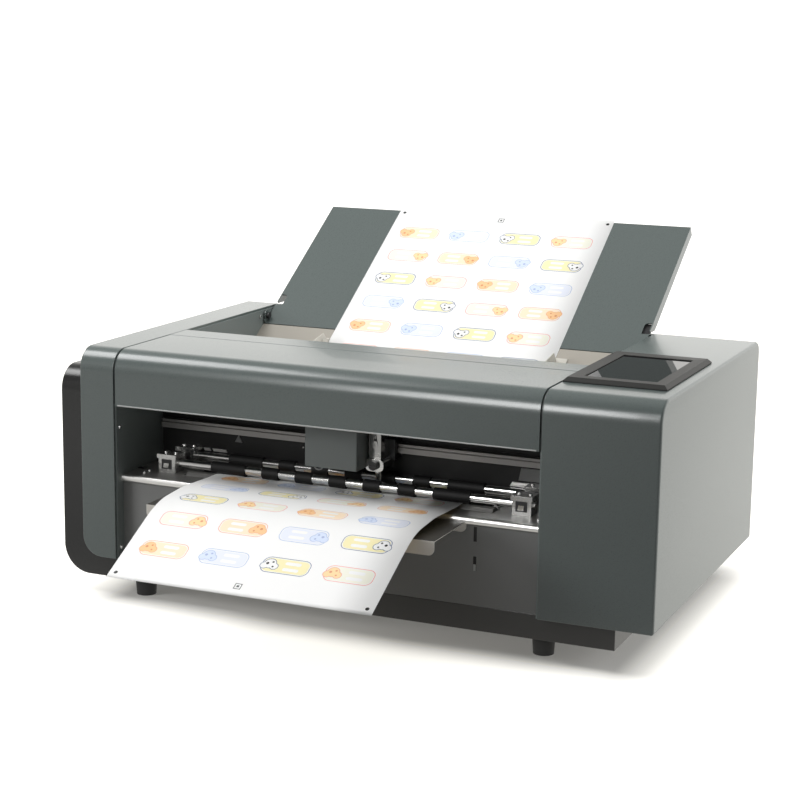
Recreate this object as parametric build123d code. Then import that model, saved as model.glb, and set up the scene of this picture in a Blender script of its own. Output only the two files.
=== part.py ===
from build123d import *
import os
from math import atan2, cos, degrees, hypot, pi, radians, sin, tan

# Sheet-fed cutting plotter. Millimetres, +X to the right, +Y away from the user, +Z up.
# While it is built, x = 0 is the left cover's outer side, y = 0 the front face and z = 0 the floor.

# Whole machine
body_w = 690.0
body_d = 425.0
body_h = 246.0
left_cover_w = 44.0
right_cover_w = 128.0
pan_h = 28.0
foot_h = 21.0
skin = 1.5
plate_t = 2.0
front_r = 25.0
rear_r = 15.0

# Sheet and its path
sheet_w = 305.0
sheet_len = 380.0
sheet_t = 0.5
table_rise_share = 0.40244
table_rear = 190.0
front_nip_y = 52.0
rear_nip_y = 95.0

# Fits
run_gap = 0.3
shaft_fit = 0.06
slide_gap = 0.4
overrun = 5.0

# Places that follow from them
z_pan = foot_h
z_cover = z_pan + pan_h
z_top = z_cover + body_h
bay_l = left_cover_w
bay_r = body_w - right_cover_w
in_l = bay_l + plate_t
in_r = bay_r - plate_t
mid_x = (bay_l + bay_r) / 2
table_z = z_cover + body_h * table_rise_share
sheet_l = mid_x - sheet_w / 2
sheet_r = mid_x + sheet_w / 2


def block(x0, x1, y0, y1, z0, z1):
    """Box between two corners."""
    centre = Pos((x0 + x1) / 2, (y0 + y1) / 2, (z0 + z1) / 2)
    return centre * Box(x1 - x0, y1 - y0, z1 - z0)


def rod_x(x0, x1, y, z, d):
    return Pos((x0 + x1) / 2, y, z) * Rot(0, 90, 0) * Cylinder(d / 2, x1 - x0)


def rod_y(x, y0, y1, z, d):
    return Pos(x, (y0 + y1) / 2, z) * Rot(90, 0, 0) * Cylinder(d / 2, y1 - y0)


def rod_z(x, y, z0, z1, d):
    return Pos(x, y, (z0 + z1) / 2) * Cylinder(d / 2, z1 - z0)


def outline(points, radii=None):
    """Closed face through the points, with a corner radius for each of them."""
    if radii is None:
        return make_face(Polyline(*points, close=True))
    return make_face(FilletPolyline(*points, radius=radii, close=True))


def prism_yz(x0, x1, points, radii=None):
    return extrude(Plane.YZ.offset(x0) * outline(points, radii), x1 - x0, dir=(1, 0, 0))


def prism_xz(y0, y1, points, radii=None):
    return extrude(Plane.XZ.offset(-y0) * outline(points, radii), y1 - y0, dir=(0, 1, 0))


def rect(u0, u1, v0, v1):
    return [(u0, v0), (u1, v0), (u1, v1), (u0, v1)]


def group(*shapes):
    """One node of separate solids."""
    return Compound([solid for shape in shapes for solid in shape.solids()])


def body_profile(x0, x1, inset, y0=0.0, y1=body_d, z0=z_cover):
    """Prism of the casing's side view, rounded at the front and rear top edges."""
    radii = [0, 0, rear_r - inset, front_r - inset]
    return prism_yz(x0, x1, rect(y0 + inset, y1 - inset, z0 + inset, z_top - inset), radii)


def gear(teeth, module, width, bore):
    """Spur gear about Z with straight-sided teeth, its first tooth along +X."""
    pitch_r = teeth * module / 2
    tip_r = pitch_r + module * gear_tip_share
    root_r = pitch_r - module * gear_root_share
    step = 2 * pi / teeth
    points = []
    for index in range(teeth):
        for side, r in ((-gear_root_width_share, root_r), (-gear_tip_width_share, tip_r),
                        (gear_tip_width_share, tip_r), (gear_root_width_share, root_r)):
            angle = (index + side) * step
            points.append((r * cos(angle), r * sin(angle)))
    wheel = extrude(outline(points), width / 2, both=True)
    return wheel - Cylinder(bore / 2, width + overrun)


gear_tip_share = 0.8
gear_root_share = 1.1
gear_tip_width_share = 0.12
gear_root_width_share = 0.27


# Base pan: folded black steel box with cooling slots in its floor
pan_right_in = 46.0
pan_front = 16.0
pan_rear_in = 3.0
pan_slots = 12
pan_slot_w = 5.0
pan_slot_l = 90.0
pan_slot_pitch = 14.0
pan_right = body_w - pan_right_in
pan_rear = body_d - pan_rear_in


def base_pan():
    shell = block(bay_l, pan_right, pan_front, pan_rear, z_pan, z_cover)
    shell -= block(bay_l + skin, pan_right - skin, pan_front + skin, pan_rear - skin,
                   z_pan + skin, z_cover - skin)
    middle = (pan_front + pan_rear) / 2
    for index in range(pan_slots):
        x = mid_x + (index - (pan_slots - 1) / 2) * pan_slot_pitch
        shell -= block(x - pan_slot_w / 2, x + pan_slot_w / 2, middle - pan_slot_l / 2,
                       middle + pan_slot_l / 2, z_pan - overrun, z_pan + overrun)
    return shell


# Rubber feet, tapered towards the floor
foot_d = 26.0
foot_tip_d = 23.0
foot_left_in = 18.0
foot_right_in = 86.0
foot_front_in = 22.0
foot_rear_in = 37.0


def feet():
    foot = Pos(0, 0, foot_h / 2) * Cone(foot_tip_d / 2, foot_d / 2, foot_h)
    xs = (bay_l + foot_left_in, pan_right - foot_right_in)
    ys = (pan_front + foot_front_in, pan_rear - foot_rear_in)
    return group(*[Pos(x, y, 0) * foot for x in xs for y in ys])


# Left cover: narrow welded shell with a return flange towards the side plate
cover_corner_r = 24.0
flange = 10.0


def left_cover_block(inset, x1):
    """Left cover's outer form, inset by a wall, with its round lower left corner."""
    form = body_profile(inset, x1, inset)
    edge = form.edges().filter_by(Axis.Y).sort_by(Axis.X)[0:2].sort_by(Axis.Z)[0]
    return fillet(edge, cover_corner_r - inset)


def left_cover():
    shell = left_cover_block(0, left_cover_w) - left_cover_block(skin, left_cover_w - skin)
    window = body_profile(left_cover_w - skin - overrun, left_cover_w + overrun, flange)
    return shell - window


# Left side housing: black shell behind and below the left cover
housing_out = 37.0
housing_front = 17.0
housing_rear_in = 20.0
housing_drop = 27.0
housing_r = 28.0
housing_corner_r = 34.0
housing_rear = body_d - housing_rear_in


def housing_block(inset, x0, x1):
    z1 = z_top - housing_drop - inset
    outer = rect(housing_front + inset, housing_rear - inset, z_pan + inset, z1)
    form = prism_yz(x0, x1, outer, [0, 0, housing_r - inset, housing_r - inset])
    edge = form.edges().filter_by(Axis.Y).sort_by(Axis.X)[0:2].sort_by(Axis.Z)[0]
    return fillet(edge, housing_corner_r - inset)


def left_side_housing():
    form = housing_block(0, -housing_out, bay_l)
    cover_space = prism_xz(-overrun, body_d + overrun,
                           rect(0, bay_l + overrun, z_cover, z_top + overrun), [cover_corner_r, 0, 0, 0])
    hollow = housing_block(skin, skin - housing_out, bay_l - skin)
    hollow -= block(0, bay_l, 0, body_d, z_cover - skin, z_top)
    hollow -= block(-skin, 0, 0, body_d, z_cover - skin, z_cover + cover_corner_r)
    return form - cover_space - hollow


# Right cover: welded shell with the screen cut-out and the rear socket openings
side_edge_r = 3.0
screen_in = 17.0
screen_w = 84.0
screen_y0 = 76.5
screen_y1 = 224.0
screen_cut = 4.0
fan_in = 50.0
fan_down = 60.0
fan_size = 40.0
fan_slot_w = 3.0
fan_slots = 5
inlet_in = 38.0
inlet_z = 92.0
inlet_w = 28.0
inlet_h = 20.0
switch_w = 13.0
switch_h = 19.0
port_z = 130.0
port_w = 12.0
port_h = 11.0
screen_x0 = bay_r + screen_in
screen_x1 = screen_x0 + screen_w
fan_x = body_w - fan_in
fan_z = z_top - fan_down
inlet_x = bay_r + inlet_in
switch_x = fan_x
port_x = inlet_x


def right_cover():
    outer = body_profile(bay_r, body_w, 0)
    outer = fillet(outer.faces().sort_by(Axis.X)[-1].edges(), side_edge_r)
    shell = outer - body_profile(bay_r + skin, body_w - skin, skin)
    shell -= body_profile(bay_r - overrun, bay_r + skin + overrun, flange)
    shell -= block(screen_x0 - screen_cut, screen_x1 + screen_cut, screen_y0 - screen_cut,
                   screen_y1 + screen_cut, z_top - overrun, z_top + overrun)
    y0 = body_d - overrun
    y1 = body_d + overrun
    for x, z, w, h in ((inlet_x, inlet_z, inlet_w, inlet_h), (switch_x, inlet_z, switch_w, switch_h),
                       (port_x, port_z, port_w, port_h)):
        half_w = w / 2 + run_gap
        half_h = h / 2 + run_gap
        shell -= block(x - half_w, x + half_w, y0, y1, z - half_h, z + half_h)
    pitch = fan_size / (fan_slots + 1)
    for index in range(fan_slots):
        z = fan_z + (index - (fan_slots - 1) / 2) * pitch
        shell -= block(fan_x - fan_size / 2 + pitch / 2, fan_x + fan_size / 2 - pitch / 2, y0, y1,
                       z - fan_slot_w / 2, z + fan_slot_w / 2)
    return shell


# Paper tray: sheet plate on pivots, which also folds forward as the lid of the feed opening
opening_back = 20.0
rest_rise = 4.03
tray_down = 20.0
bed_over = 11.54
bed_rise = 3.91
tray_len = 247.65
tray_side_gap = 1.2
tray_flange = 13.0
tray_flange_from = 44.0
tray_notch_from = 38.0
tray_notch_to = 58.0
tray_notch_w = 10.0
tray_notch_r = 5.0
tray_clear = 1.5
pivot_along = 9.8
pivot_above = 5.1
pivot_pin_d = 4.0
pivot_knob_d = 8.0
pivot_knob_l = 3.0
ear_r = 7.0
ear_len = 19.0
opening_rear = body_d - opening_back
bed_low_y = table_rear - bed_over
bed_low_z = table_z + bed_rise
tray_tilt = degrees(atan2(z_top + rest_rise - bed_low_z, opening_rear - bed_low_y))
tray_z = z_top - tray_down
tray_y = bed_low_y + (tray_z - bed_low_z) / tan(radians(tray_tilt))
tilt_cos = cos(radians(tray_tilt))
tilt_sin = sin(radians(tray_tilt))
tray_plane = Plane(origin=(0, tray_y, tray_z), x_dir=(1, 0, 0), z_dir=(0, -tilt_sin, tilt_cos))
pivot_y = tray_y + pivot_along * tilt_cos - pivot_above * tilt_sin
pivot_z = tray_z + pivot_along * tilt_sin + pivot_above * tilt_cos
tray_l = in_l + tray_side_gap
tray_r = in_r - tray_side_gap


def on_tray(shape):
    """Moves a shape from x, distance up the slope and height above it to its place."""
    return tray_plane.location * shape


def slope_point(along, above):
    return (tray_y + along * tilt_cos - above * tilt_sin, tray_z + along * tilt_sin + above * tilt_cos)


def tray_side(x0, x1):
    """Side flange and pivot ear of the tray, between two x values."""
    side = block(x0, x1, tray_flange_from, tray_len, -tray_flange, 0)
    ear = block(x0, x1, 0, ear_len, -skin, pivot_above)
    ear += rod_x(x0, x1, pivot_along, pivot_above, 2 * ear_r)
    ear -= block(x0, x1, -ear_r, 0, -ear_r, 2 * ear_r)
    ear -= rod_x(x0 - overrun, x1 + overrun, pivot_along, pivot_above, pivot_pin_d + 2 * shaft_fit)
    below_top = block(x0 - overrun, x1 + overrun, 0, body_d * 2, 0, z_top + tray_clear)
    return (on_tray(side) - below_top) + on_tray(ear)


def paper_tray():
    plate = block(tray_l, tray_r, 0, tray_len, -skin, 0)
    for x in (tray_l, tray_r):
        notch = outline(rect(x - tray_notch_w, x + tray_notch_w, tray_notch_from, tray_notch_to),
                        [0, 0, tray_notch_r, tray_notch_r])
        plate -= extrude(Pos(0, 0, -skin - overrun) * notch, 2 * overrun + skin)
    return on_tray(plate) + tray_side(tray_l, tray_l + skin) + tray_side(tray_r - skin, tray_r)


def tray_pivots():
    """Black knobs with their pins, fixed in the side plates."""
    knobs = []
    for x, way in ((bay_l, 1), (bay_r, -1)):
        ear_inner = x + way * (plate_t + tray_side_gap + skin + slide_gap)
        head = ear_inner + way * pivot_knob_l
        pin = rod_x(min(x, ear_inner), max(x, ear_inner), pivot_y, pivot_z, pivot_pin_d)
        knob = rod_x(min(ear_inner, head), max(ear_inner, head), pivot_y, pivot_z, pivot_knob_d)
        knobs.append(pin + knob)
    return group(*knobs)


# Rear panel: folded skin that closes the back and carries the resting tray
panel_gap = 0.5
rear_lip = 14.0
vent_slots = 9
vent_w = 4.0
vent_h = 40.0
vent_pitch = 14.0
vent_z = 120.0


def rear_panel():
    x0 = bay_l + panel_gap
    x1 = bay_r - panel_gap
    wrap = body_profile(x0, x1, 0) - body_profile(x0 - overrun, x1 + overrun, skin, z0=z_cover - overrun)
    wrap -= block(x0 - overrun, x1 + overrun, -overrun, opening_rear, 0, z_top + overrun)
    lip = block(in_l, in_r, opening_rear, opening_rear + skin, z_top - rear_lip, z_top - skin)
    rest_y, rest_z = slope_point(0, -skin - run_gap)
    rest_top = rest_z + (opening_rear - rest_y) * tilt_sin / tilt_cos
    bead = block(tray_l + tray_flange, tray_r - tray_flange, opening_rear, opening_rear + skin, z_top, rest_top)
    panel = wrap + lip + bead
    for index in range(vent_slots):
        x = mid_x + (index - (vent_slots - 1) / 2) * vent_pitch
        panel -= block(x - vent_w / 2, x + vent_w / 2, body_d - overrun, body_d + overrun, vent_z, vent_z + vent_h)
    return panel


# Top bridge: folded strip between the front cover and the feed opening
cover_depth = 125.6
seam = 2.0
opening_front = 168.0
bridge_front_lip = 22.0
bridge_rear_lip = 44.0


def top_bridge():
    y0 = cover_depth + seam
    strip = block(bay_l + panel_gap, bay_r - panel_gap, y0, opening_front, z_top - skin, z_top)
    strip += block(in_l, in_r, y0, y0 + skin, z_top - bridge_front_lip, z_top - skin)
    strip += block(in_l, in_r, opening_front - skin, opening_front, z_top - bridge_rear_lip, z_top - skin)
    return strip


# Front cover: curved hinged hood over the carriage
cover_face = 64.0
cover_gap = 0.5
cover_lip = 8.0
cover_rib = 20.0
hinge_back = 3.2
hinge_down = 3.5
hinge_pin_d = 2.5
hinge_pin_l = 6.0
hinge_y = cover_depth - hinge_back
hinge_z = z_top - hinge_down
cover_bottom = z_top - cover_face


def cover_profile(x0, x1, inset, drop=0.0):
    """Side view of the hood, open towards its rear and bottom when inset."""
    points = rect(inset, cover_depth + drop, cover_bottom - drop, z_top - inset)
    return prism_yz(x0, x1, points, [0, 0, 0, front_r - inset])


def front_cover():
    x0 = in_l + cover_gap
    x1 = in_r - cover_gap
    hood = cover_profile(x0, x1, 0) - cover_profile(x0 - overrun, x1 + overrun, skin, overrun)
    hood += block(x0, x1, 0, cover_lip, cover_bottom, cover_bottom + skin)
    for rib_l in (x0, x1 - skin):
        rib = cover_profile(rib_l, rib_l + skin, 0) - cover_profile(rib_l - overrun, rib_l + skin + overrun,
                                                                    cover_rib, overrun)
        hood += rib
    bore = rod_x(x0 - overrun, x1 + overrun, hinge_y, hinge_z, hinge_pin_d + 2 * shaft_fit)
    return hood - bore


def cover_hinge_pins():
    left = rod_x(bay_l, bay_l + hinge_pin_l, hinge_y, hinge_z, hinge_pin_d)
    right = rod_x(bay_r - hinge_pin_l, bay_r, hinge_y, hinge_z, hinge_pin_d)
    return group(left, right)


# Pickup roller above the feed bed
pickup_down = 112.0
pickup_d = 32.0
pickup_tyre_w = 30.0
pickup_tyre_pitch = 90.0
pickup_shaft_d = 8.0
pickup_above = sheet_t + run_gap + pickup_d / 2
pickup_y, pickup_z = slope_point(-pickup_down, pickup_above)
gear_module = 1.0
pickup_gear_teeth = 48
pinion_teeth = 16
gear_w = 7.0
gear_out = 10.0
gear_x = bay_l - gear_out
motor_angle = -60.0
gear_centres = gear_module * (pickup_gear_teeth + pinion_teeth) / 2
pinion_y = pickup_y + gear_centres * cos(radians(motor_angle))
pinion_z = pickup_z + gear_centres * sin(radians(motor_angle))
pinion_bore = 3.0
small_motor_d = 24.0
small_motor_l = 38.0
shaft_end = 6.0


def gear_at(teeth, bore, y, z, turn):
    """Gear about X, its first tooth turned by an angle from +Y towards +Z."""
    wheel = gear(teeth, gear_module, gear_w, bore)
    upright = Plane(origin=(gear_x, y, z), x_dir=(0, 1, 0), z_dir=(1, 0, 0))
    return upright.location * (Rot(0, 0, turn) * wheel)


def pickup_shaft():
    shaft = rod_x(gear_x - shaft_end, bay_r + shaft_end, pickup_y, pickup_z, pickup_shaft_d)
    wheel = gear_at(pickup_gear_teeth, pickup_shaft_d, pickup_y, pickup_z, motor_angle)
    return group(shaft + wheel)


def pickup_tyres():
    tyres = []
    for step in (-1, 0, 1):
        x = mid_x + step * pickup_tyre_pitch
        tyre = rod_x(x - pickup_tyre_w / 2, x + pickup_tyre_w / 2, pickup_y, pickup_z, pickup_d)
        bore = rod_x(x - pickup_tyre_w, x + pickup_tyre_w, pickup_y, pickup_z, pickup_shaft_d)
        tyres.append(tyre - bore)
    return group(*tyres)


def pickup_pinion():
    half_tooth = 180 / pinion_teeth
    wheel = gear_at(pinion_teeth, pinion_bore, pinion_y, pinion_z, motor_angle + 180 + half_tooth)
    shaft = rod_x(gear_x - gear_w / 2, in_l + shaft_in, pinion_y, pinion_z, pinion_bore)
    return group(wheel + shaft)


# Drive rollers under the table, joined by a belt outside the right plate
drive_d = 20.0
drive_end = 67.0
drive_half = (in_r - in_l) / 2 - drive_end
journal_d = 6.0
drive_below = 0.3
nip_up = 3.5
sheet_z = table_z + nip_up
drive_z = sheet_z - drive_below - drive_d / 2
pulley_d = 16.0
pulley_rim_d = 19.0
pulley_w = 8.0
rim_w = 1.0
pulley_gap = 5.0
pulley_x0 = bay_r + pulley_gap
feed_motor_y = (front_nip_y + rear_nip_y) / 2
feed_motor_drop = 42.7
feed_motor_z = drive_z - feed_motor_drop
belt_t = 1.2
motor_size = 42.0
motor_l = 38.0
motor_corner = 4.0
motor_shaft_d = 5.0
shaft_in = 12.0
bush_d = 12.0
bush_flange_d = 15.0
bush_flange_t = 1.5


def pulley_x(x0, y, z):
    """Flanged belt pulley about X."""
    hub = rod_x(x0, x0 + pulley_w, y, z, pulley_d)
    rims = rod_x(x0, x0 + rim_w, y, z, pulley_rim_d)
    rims += rod_x(x0 + pulley_w - rim_w, x0 + pulley_w, y, z, pulley_rim_d)
    return hub + rims


def drive_roller(y):
    shaft = rod_x(bay_l - shaft_end, pulley_x0 + pulley_w, y, drive_z, journal_d)
    barrel = rod_x(mid_x - drive_half, mid_x + drive_half, y, drive_z, drive_d)
    return group(shaft + barrel + pulley_x(pulley_x0, y, drive_z))


def feed_motor_pulley():
    shaft = rod_x(in_r - shaft_in, pulley_x0, feed_motor_y, feed_motor_z, motor_shaft_d)
    return group(shaft + pulley_x(pulley_x0, feed_motor_y, feed_motor_z))


def feed_belt():
    centres = [(front_nip_y, drive_z), (feed_motor_y, feed_motor_z), (rear_nip_y, drive_z)]
    triangle = outline(centres)
    inner = offset(triangle, pulley_d / 2 + run_gap)
    outer = offset(triangle, pulley_d / 2 + run_gap + belt_t)
    belt = Plane.YZ.offset(pulley_x0 + rim_w + slide_gap) * (outer - inner)
    return group(extrude(belt, pulley_w - 2 * (rim_w + slide_gap), dir=(1, 0, 0)))


def roller_bushes():
    """Flanged bushes in the side plates for both drive rollers and the pickup shaft."""
    bushes = []
    for y, z, d in ((front_nip_y, drive_z, journal_d), (rear_nip_y, drive_z, journal_d),
                    (pickup_y, pickup_z, pickup_shaft_d)):
        for plate_l, way in ((bay_l, 1), (in_r, -1)):
            face = plate_l + plate_t if way > 0 else plate_l
            tip = face + way * bush_flange_t
            bush = rod_x(plate_l, plate_l + plate_t, y, z, bush_d)
            bush += rod_x(min(face, tip), max(face, tip), y, z, bush_flange_d)
            bore = rod_x(plate_l - overrun, plate_l + 2 * overrun, y, z, d + 2 * shaft_fit)
            bushes.append(bush - bore)
    return group(*bushes)


# Pinch shafts with rubber sleeves in clear brackets on the table
pinch_d = 10.0
sleeve_d = 13.5
wide_sleeve_share = 0.13522
sleeve_w_share = 0.06289
narrow_sleeves = 5
sleeve_left_clear = 45.0
sleeve_right_clear = 51.0
bracket_w = 22.0
bracket_d = 20.0
bracket_h = 17.0
bracket_cap = 5.0
bracket_cap_over = 1.5
bracket_left_end = 32.0
bracket_right_end = 22.0
pinch_z = sheet_z + sheet_t + run_gap + sleeve_d / 2
bracket_l = in_l + bracket_left_end
bracket_r = in_r - bracket_right_end
pinch_proud = 2.0
sleeve_span = bracket_r - bracket_l - 2 * bracket_w - sleeve_left_clear - sleeve_right_clear
wide_sleeve = sleeve_span * wide_sleeve_share
sleeve_w = sleeve_span * sleeve_w_share
sleeve_gap = (sleeve_span - 2 * wide_sleeve - narrow_sleeves * sleeve_w) / (narrow_sleeves + 1)


def pinch_shaft(y):
    return group(rod_x(bracket_l - pinch_proud, bracket_r + pinch_proud, y, pinch_z, pinch_d))


def pinch_sleeves(y):
    widths = [wide_sleeve] + [sleeve_w] * narrow_sleeves + [wide_sleeve]
    x = bracket_l + bracket_w + sleeve_left_clear
    sleeves = []
    for width in widths:
        sleeve = rod_x(x, x + width, y, pinch_z, sleeve_d)
        sleeves.append(sleeve - rod_x(x - overrun, x + width + overrun, y, pinch_z, pinch_d))
        x += width + sleeve_gap
    return group(*sleeves)


def bracket_places():
    return [(x, y) for x in (bracket_l, bracket_r - bracket_w) for y in (front_nip_y, rear_nip_y)]


def pinch_brackets():
    brackets = []
    for x, y in bracket_places():
        y0 = y - bracket_d / 2
        y1 = y + bracket_d / 2
        stand = block(x, x + bracket_w, y0, y1, table_z, table_z + bracket_h)
        cap = block(x - bracket_cap_over, x + bracket_w + bracket_cap_over, y0 - bracket_cap_over,
                    y1 + bracket_cap_over, table_z + bracket_h, table_z + bracket_h + bracket_cap)
        bore = rod_x(x - overrun, x + bracket_w + overrun, y, pinch_z, pinch_d + 2 * shaft_fit)
        brackets.append(stand + cap - bore)
    return group(*brackets)


# Table: steel plate with slots for the drive rollers and a groove for the cutting strip
table_t = 3.0
table_front = 14.0
table_side = 12.0
slot_spare = 2.0
edge_d = 5.0
strip_y = 73.5
strip_w = 8.0
strip_seat = 1.4
strip_end = 10.0
strip_sink = 0.2
strip_half = drive_half - strip_end


def table():
    top = block(in_l, in_r, table_front, table_rear, table_z - table_t, table_z)
    for x in (in_l, in_r - skin):
        top += block(x, x + skin, table_front + edge_d, table_rear, table_z - table_side, table_z - table_t)
        for y in (front_nip_y, rear_nip_y):
            top -= rod_x(x - overrun, x + 2 * overrun, y, drive_z, bush_flange_d + slot_spare)
    reach = drive_half + slot_spare
    for y in (front_nip_y, rear_nip_y):
        half = drive_d / 2 + slot_spare / 2
        top -= block(mid_x - reach, mid_x + reach, y - half, y + half, table_z - 2 * table_t, table_z + overrun)
    top -= block(mid_x - strip_half, mid_x + strip_half, strip_y - strip_w / 2, strip_y + strip_w / 2,
                 table_z - strip_seat, table_z + overrun)
    return top


def table_edge():
    """Bright rolled nosing along the table's front."""
    nose = rod_x(in_l, in_r, table_front, table_z - edge_d / 2, edge_d)
    return nose - block(in_l, in_r, table_front, table_front + edge_d, table_z - edge_d, table_z)


def cutting_strip():
    return block(mid_x - strip_half, mid_x + strip_half, strip_y - strip_w / 2, strip_y + strip_w / 2,
                 table_z - strip_seat, sheet_z - strip_sink)


# Front panel below the table, and the output tray screwed to it
front_panel_y = 16.0
panel_flange = 16.0
slot_w = 3.0
slot_h = 16.0
slot_x_in = 75.5
slot_drops = (60.0, 27.0)
out_half = 171.5
out_reach = 92.0
out_drop = 5.0
out_lip = 16.0
out_rear_lip = 13.0
out_corner_r = 7.0


def front_panel():
    panel = block(in_l, in_r, front_panel_y, front_panel_y + skin, z_cover, table_z - table_t)
    panel += block(in_l + 2 * skin, in_r - 2 * skin, front_panel_y, front_panel_y + panel_flange,
                   table_z - table_t - skin, table_z - table_t)
    for x in (in_l + slot_x_in, in_r - slot_x_in):
        for drop in slot_drops:
            z = table_z - drop
            panel -= block(x - slot_w / 2, x + slot_w / 2, front_panel_y - overrun,
                           front_panel_y + overrun, z, z + slot_h)
    return panel


def output_tray():
    x0 = mid_x - out_half
    x1 = mid_x + out_half
    top = table_z - out_drop
    y0 = front_panel_y - out_reach
    tray = block(x0, x1, y0, front_panel_y, top - skin, top)
    for y, drop in ((y0, out_lip), (front_panel_y - skin, out_rear_lip)):
        tray += prism_xz(y, y + skin, rect(x0, x1, top - drop, top - skin), [out_corner_r, out_corner_r, 0, 0])
    return tray


# Cross beam with the linear rail and the idler fork
beam_front = 107.0
beam_rear = 147.0
beam_above = 9.0
beam_down = 65.0
beam_wall = 3.0
rail_t = 10.0
rail_h = 10.5
rail_up = 40.4999
rail_end = 4.0
belt_down = 49.0
belt_y = 112.0
belt_w = 6.0
idler_in = 18.0
idler_axle_d = 5.0
fork_w = 16.0
fork_t = 4.0
x_motor_side = 21.0
beam_low = table_z + beam_above
beam_high = z_top - beam_down
rail_z = table_z + rail_up
belt_z = z_top - belt_down


def beam():
    tube = block(in_l, in_r, beam_front, beam_rear, beam_low, beam_high)
    tube -= block(in_l - overrun, in_r + overrun, beam_front + beam_wall, beam_rear - beam_wall,
                  beam_low + beam_wall, beam_high - beam_wall)
    x = in_l + idler_in
    y0 = belt_y + pulley_w + slide_gap
    fork = block(x - fork_w / 2, x + fork_w / 2, y0, y0 + fork_t, beam_high, belt_z + fork_w / 2)
    fork += rod_y(x, belt_y - rim_w, y0, belt_z, idler_axle_d)
    return group(tube, fork)


def rail():
    return block(in_l + rail_end, in_r - rail_end, beam_front - rail_t, beam_front, rail_z, rail_z + rail_h)


# Carriage: rail block with belt clamp, cover box and lift solenoid
carriage_left = 37.0
carriage_w = 92.0
carriage_front = 88.0
carriage_below = 6.5
carriage_above = 7.0
carriage_back_gap = 1.5
clamp_w = 30.0
clamp_in = 19.0
arm_t = 5.0
clamp_above = 1.5
clamp_depth = 14.0
head_in = 2.0
head_w = 65.0
head_front = 40.0
head_below = 6.0
head_down = 55.0
head_edge_r = 2.0
solenoid_w = 26.0
solenoid_h = 34.0
solenoid_d = 28.0
belt_r = pulley_d / 2 + run_gap
carriage_l = mid_x - carriage_left
carriage_r = carriage_l + carriage_w
carriage_low = rail_z - carriage_below
carriage_high = rail_z + rail_h + carriage_above
clamp_x = carriage_l + clamp_in
head_l = carriage_l + head_in
head_r = head_l + head_w
head_low = carriage_low - head_below
head_high = z_top - head_down


def carriage_block():
    y1 = beam_front - carriage_back_gap
    body = block(carriage_l, carriage_r, carriage_front, y1, carriage_low, carriage_high)
    body -= block(carriage_l - overrun, carriage_r + overrun, beam_front - rail_t - slide_gap, beam_front,
                  rail_z - slide_gap, rail_z + rail_h + slide_gap)
    arm_x1 = clamp_x + clamp_w
    low = beam_high + clamp_above
    run_low = belt_z - belt_r - belt_t
    run_high = belt_z - belt_r
    arm = block(clamp_x, arm_x1, carriage_front + arm_t, carriage_front + 2 * arm_t, carriage_high, low)
    jaw_y = belt_y - slide_gap
    arm += block(clamp_x, arm_x1, carriage_front + arm_t, jaw_y + clamp_depth / 2, low, run_low - slide_gap)
    cap = block(clamp_x, arm_x1, carriage_front + arm_t, jaw_y, run_low - slide_gap, run_high + arm_t)
    cap += block(clamp_x, arm_x1, jaw_y, jaw_y + clamp_depth / 2, run_high + slide_gap, run_high + arm_t)
    return group(body + arm + cap)


def carriage_cover():
    y1 = carriage_front
    outer = block(head_l, head_r, head_front, y1, head_low, head_high)
    outer = fillet(outer.edges().filter_by(Axis.Z).sort_by(Axis.Y)[0:2], head_edge_r)
    inner = block(head_l + skin, head_r - skin, head_front + skin, y1 + overrun,
                  head_low + skin, head_high + overrun)
    return outer - inner


def lift_solenoid():
    x = (head_l + head_r) / 2
    return block(x - solenoid_w / 2, x + solenoid_w / 2, carriage_front - solenoid_d, carriage_front,
                 carriage_low, carriage_low + solenoid_h)


# Tool: sliding plate, clamp, knob and blade holder, which move down together
clamp_ring_w = 22.0
tool_x = head_r + run_gap + clamp_ring_w / 2
tool_y = strip_y
plate_w = 14.0
plate_len = 42.0
plate_hole_d = 4.0
plate_hole_down = 12.0
plate_hole_depth = 4.0
slide_back = 2.0
clamp_ring_h = 14.0
clamp_ring_up = 25.0
holder_d = 9.0
nose_d = 7.0
holder_len = 19.0
nose_up = 14.0
tip_up = 4.8
blade_d = 2.0
blade_point = 1.2
blade_len = 8.0
clamp_front = 62.0
knob_d = 10.0
knob_l = 5.0
knob_slot_w = 1.2
knob_slot_depth = 1.0
knob_stem_d = 4.0
knob_stem_l = 4.0
clamp_ring_z = table_z + clamp_ring_up
plate_low = clamp_ring_z + clamp_ring_h
plate_high = plate_low + plate_len
holder_top = clamp_ring_z + holder_len
nose_z = table_z + nose_up
tip_z = sheet_z + tip_up
knob_z = clamp_ring_z + clamp_ring_h / 2


def tool_slide():
    y1 = carriage_front - slide_gap
    y0 = clamp_front + slide_back
    x0 = tool_x - plate_w / 2
    x1 = tool_x + plate_w / 2
    outer = outline(rect(x0, x1, plate_low, plate_high), [0, 0, plate_w / 3, plate_w / 3])
    plate = extrude(Plane.XZ.offset(-y0) * outer, y1 - y0, dir=(0, 1, 0))
    plate -= rod_y(tool_x, y0 - overrun, y0 + plate_hole_depth, plate_high - plate_hole_down, plate_hole_d)
    return plate - rod_z(tool_x, tool_y, plate_low - overrun, holder_top + run_gap, holder_d + 2 * shaft_fit)


def tool_clamp():
    half = clamp_ring_w / 2
    form = rect(tool_x - half, tool_x + half, clamp_ring_z, clamp_ring_z + clamp_ring_h)
    corner = clamp_ring_h * clamp_corner_share
    body = prism_xz(clamp_front, carriage_front - slide_gap, form, [corner] * 4)
    body -= rod_z(tool_x, tool_y, clamp_ring_z - overrun, plate_high, holder_d)
    body -= rod_y(tool_x, clamp_front - overrun, clamp_front + knob_stem_l + run_gap, knob_z,
                  knob_stem_d + 2 * shaft_fit)
    return body


clamp_corner_share = 0.4


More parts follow.
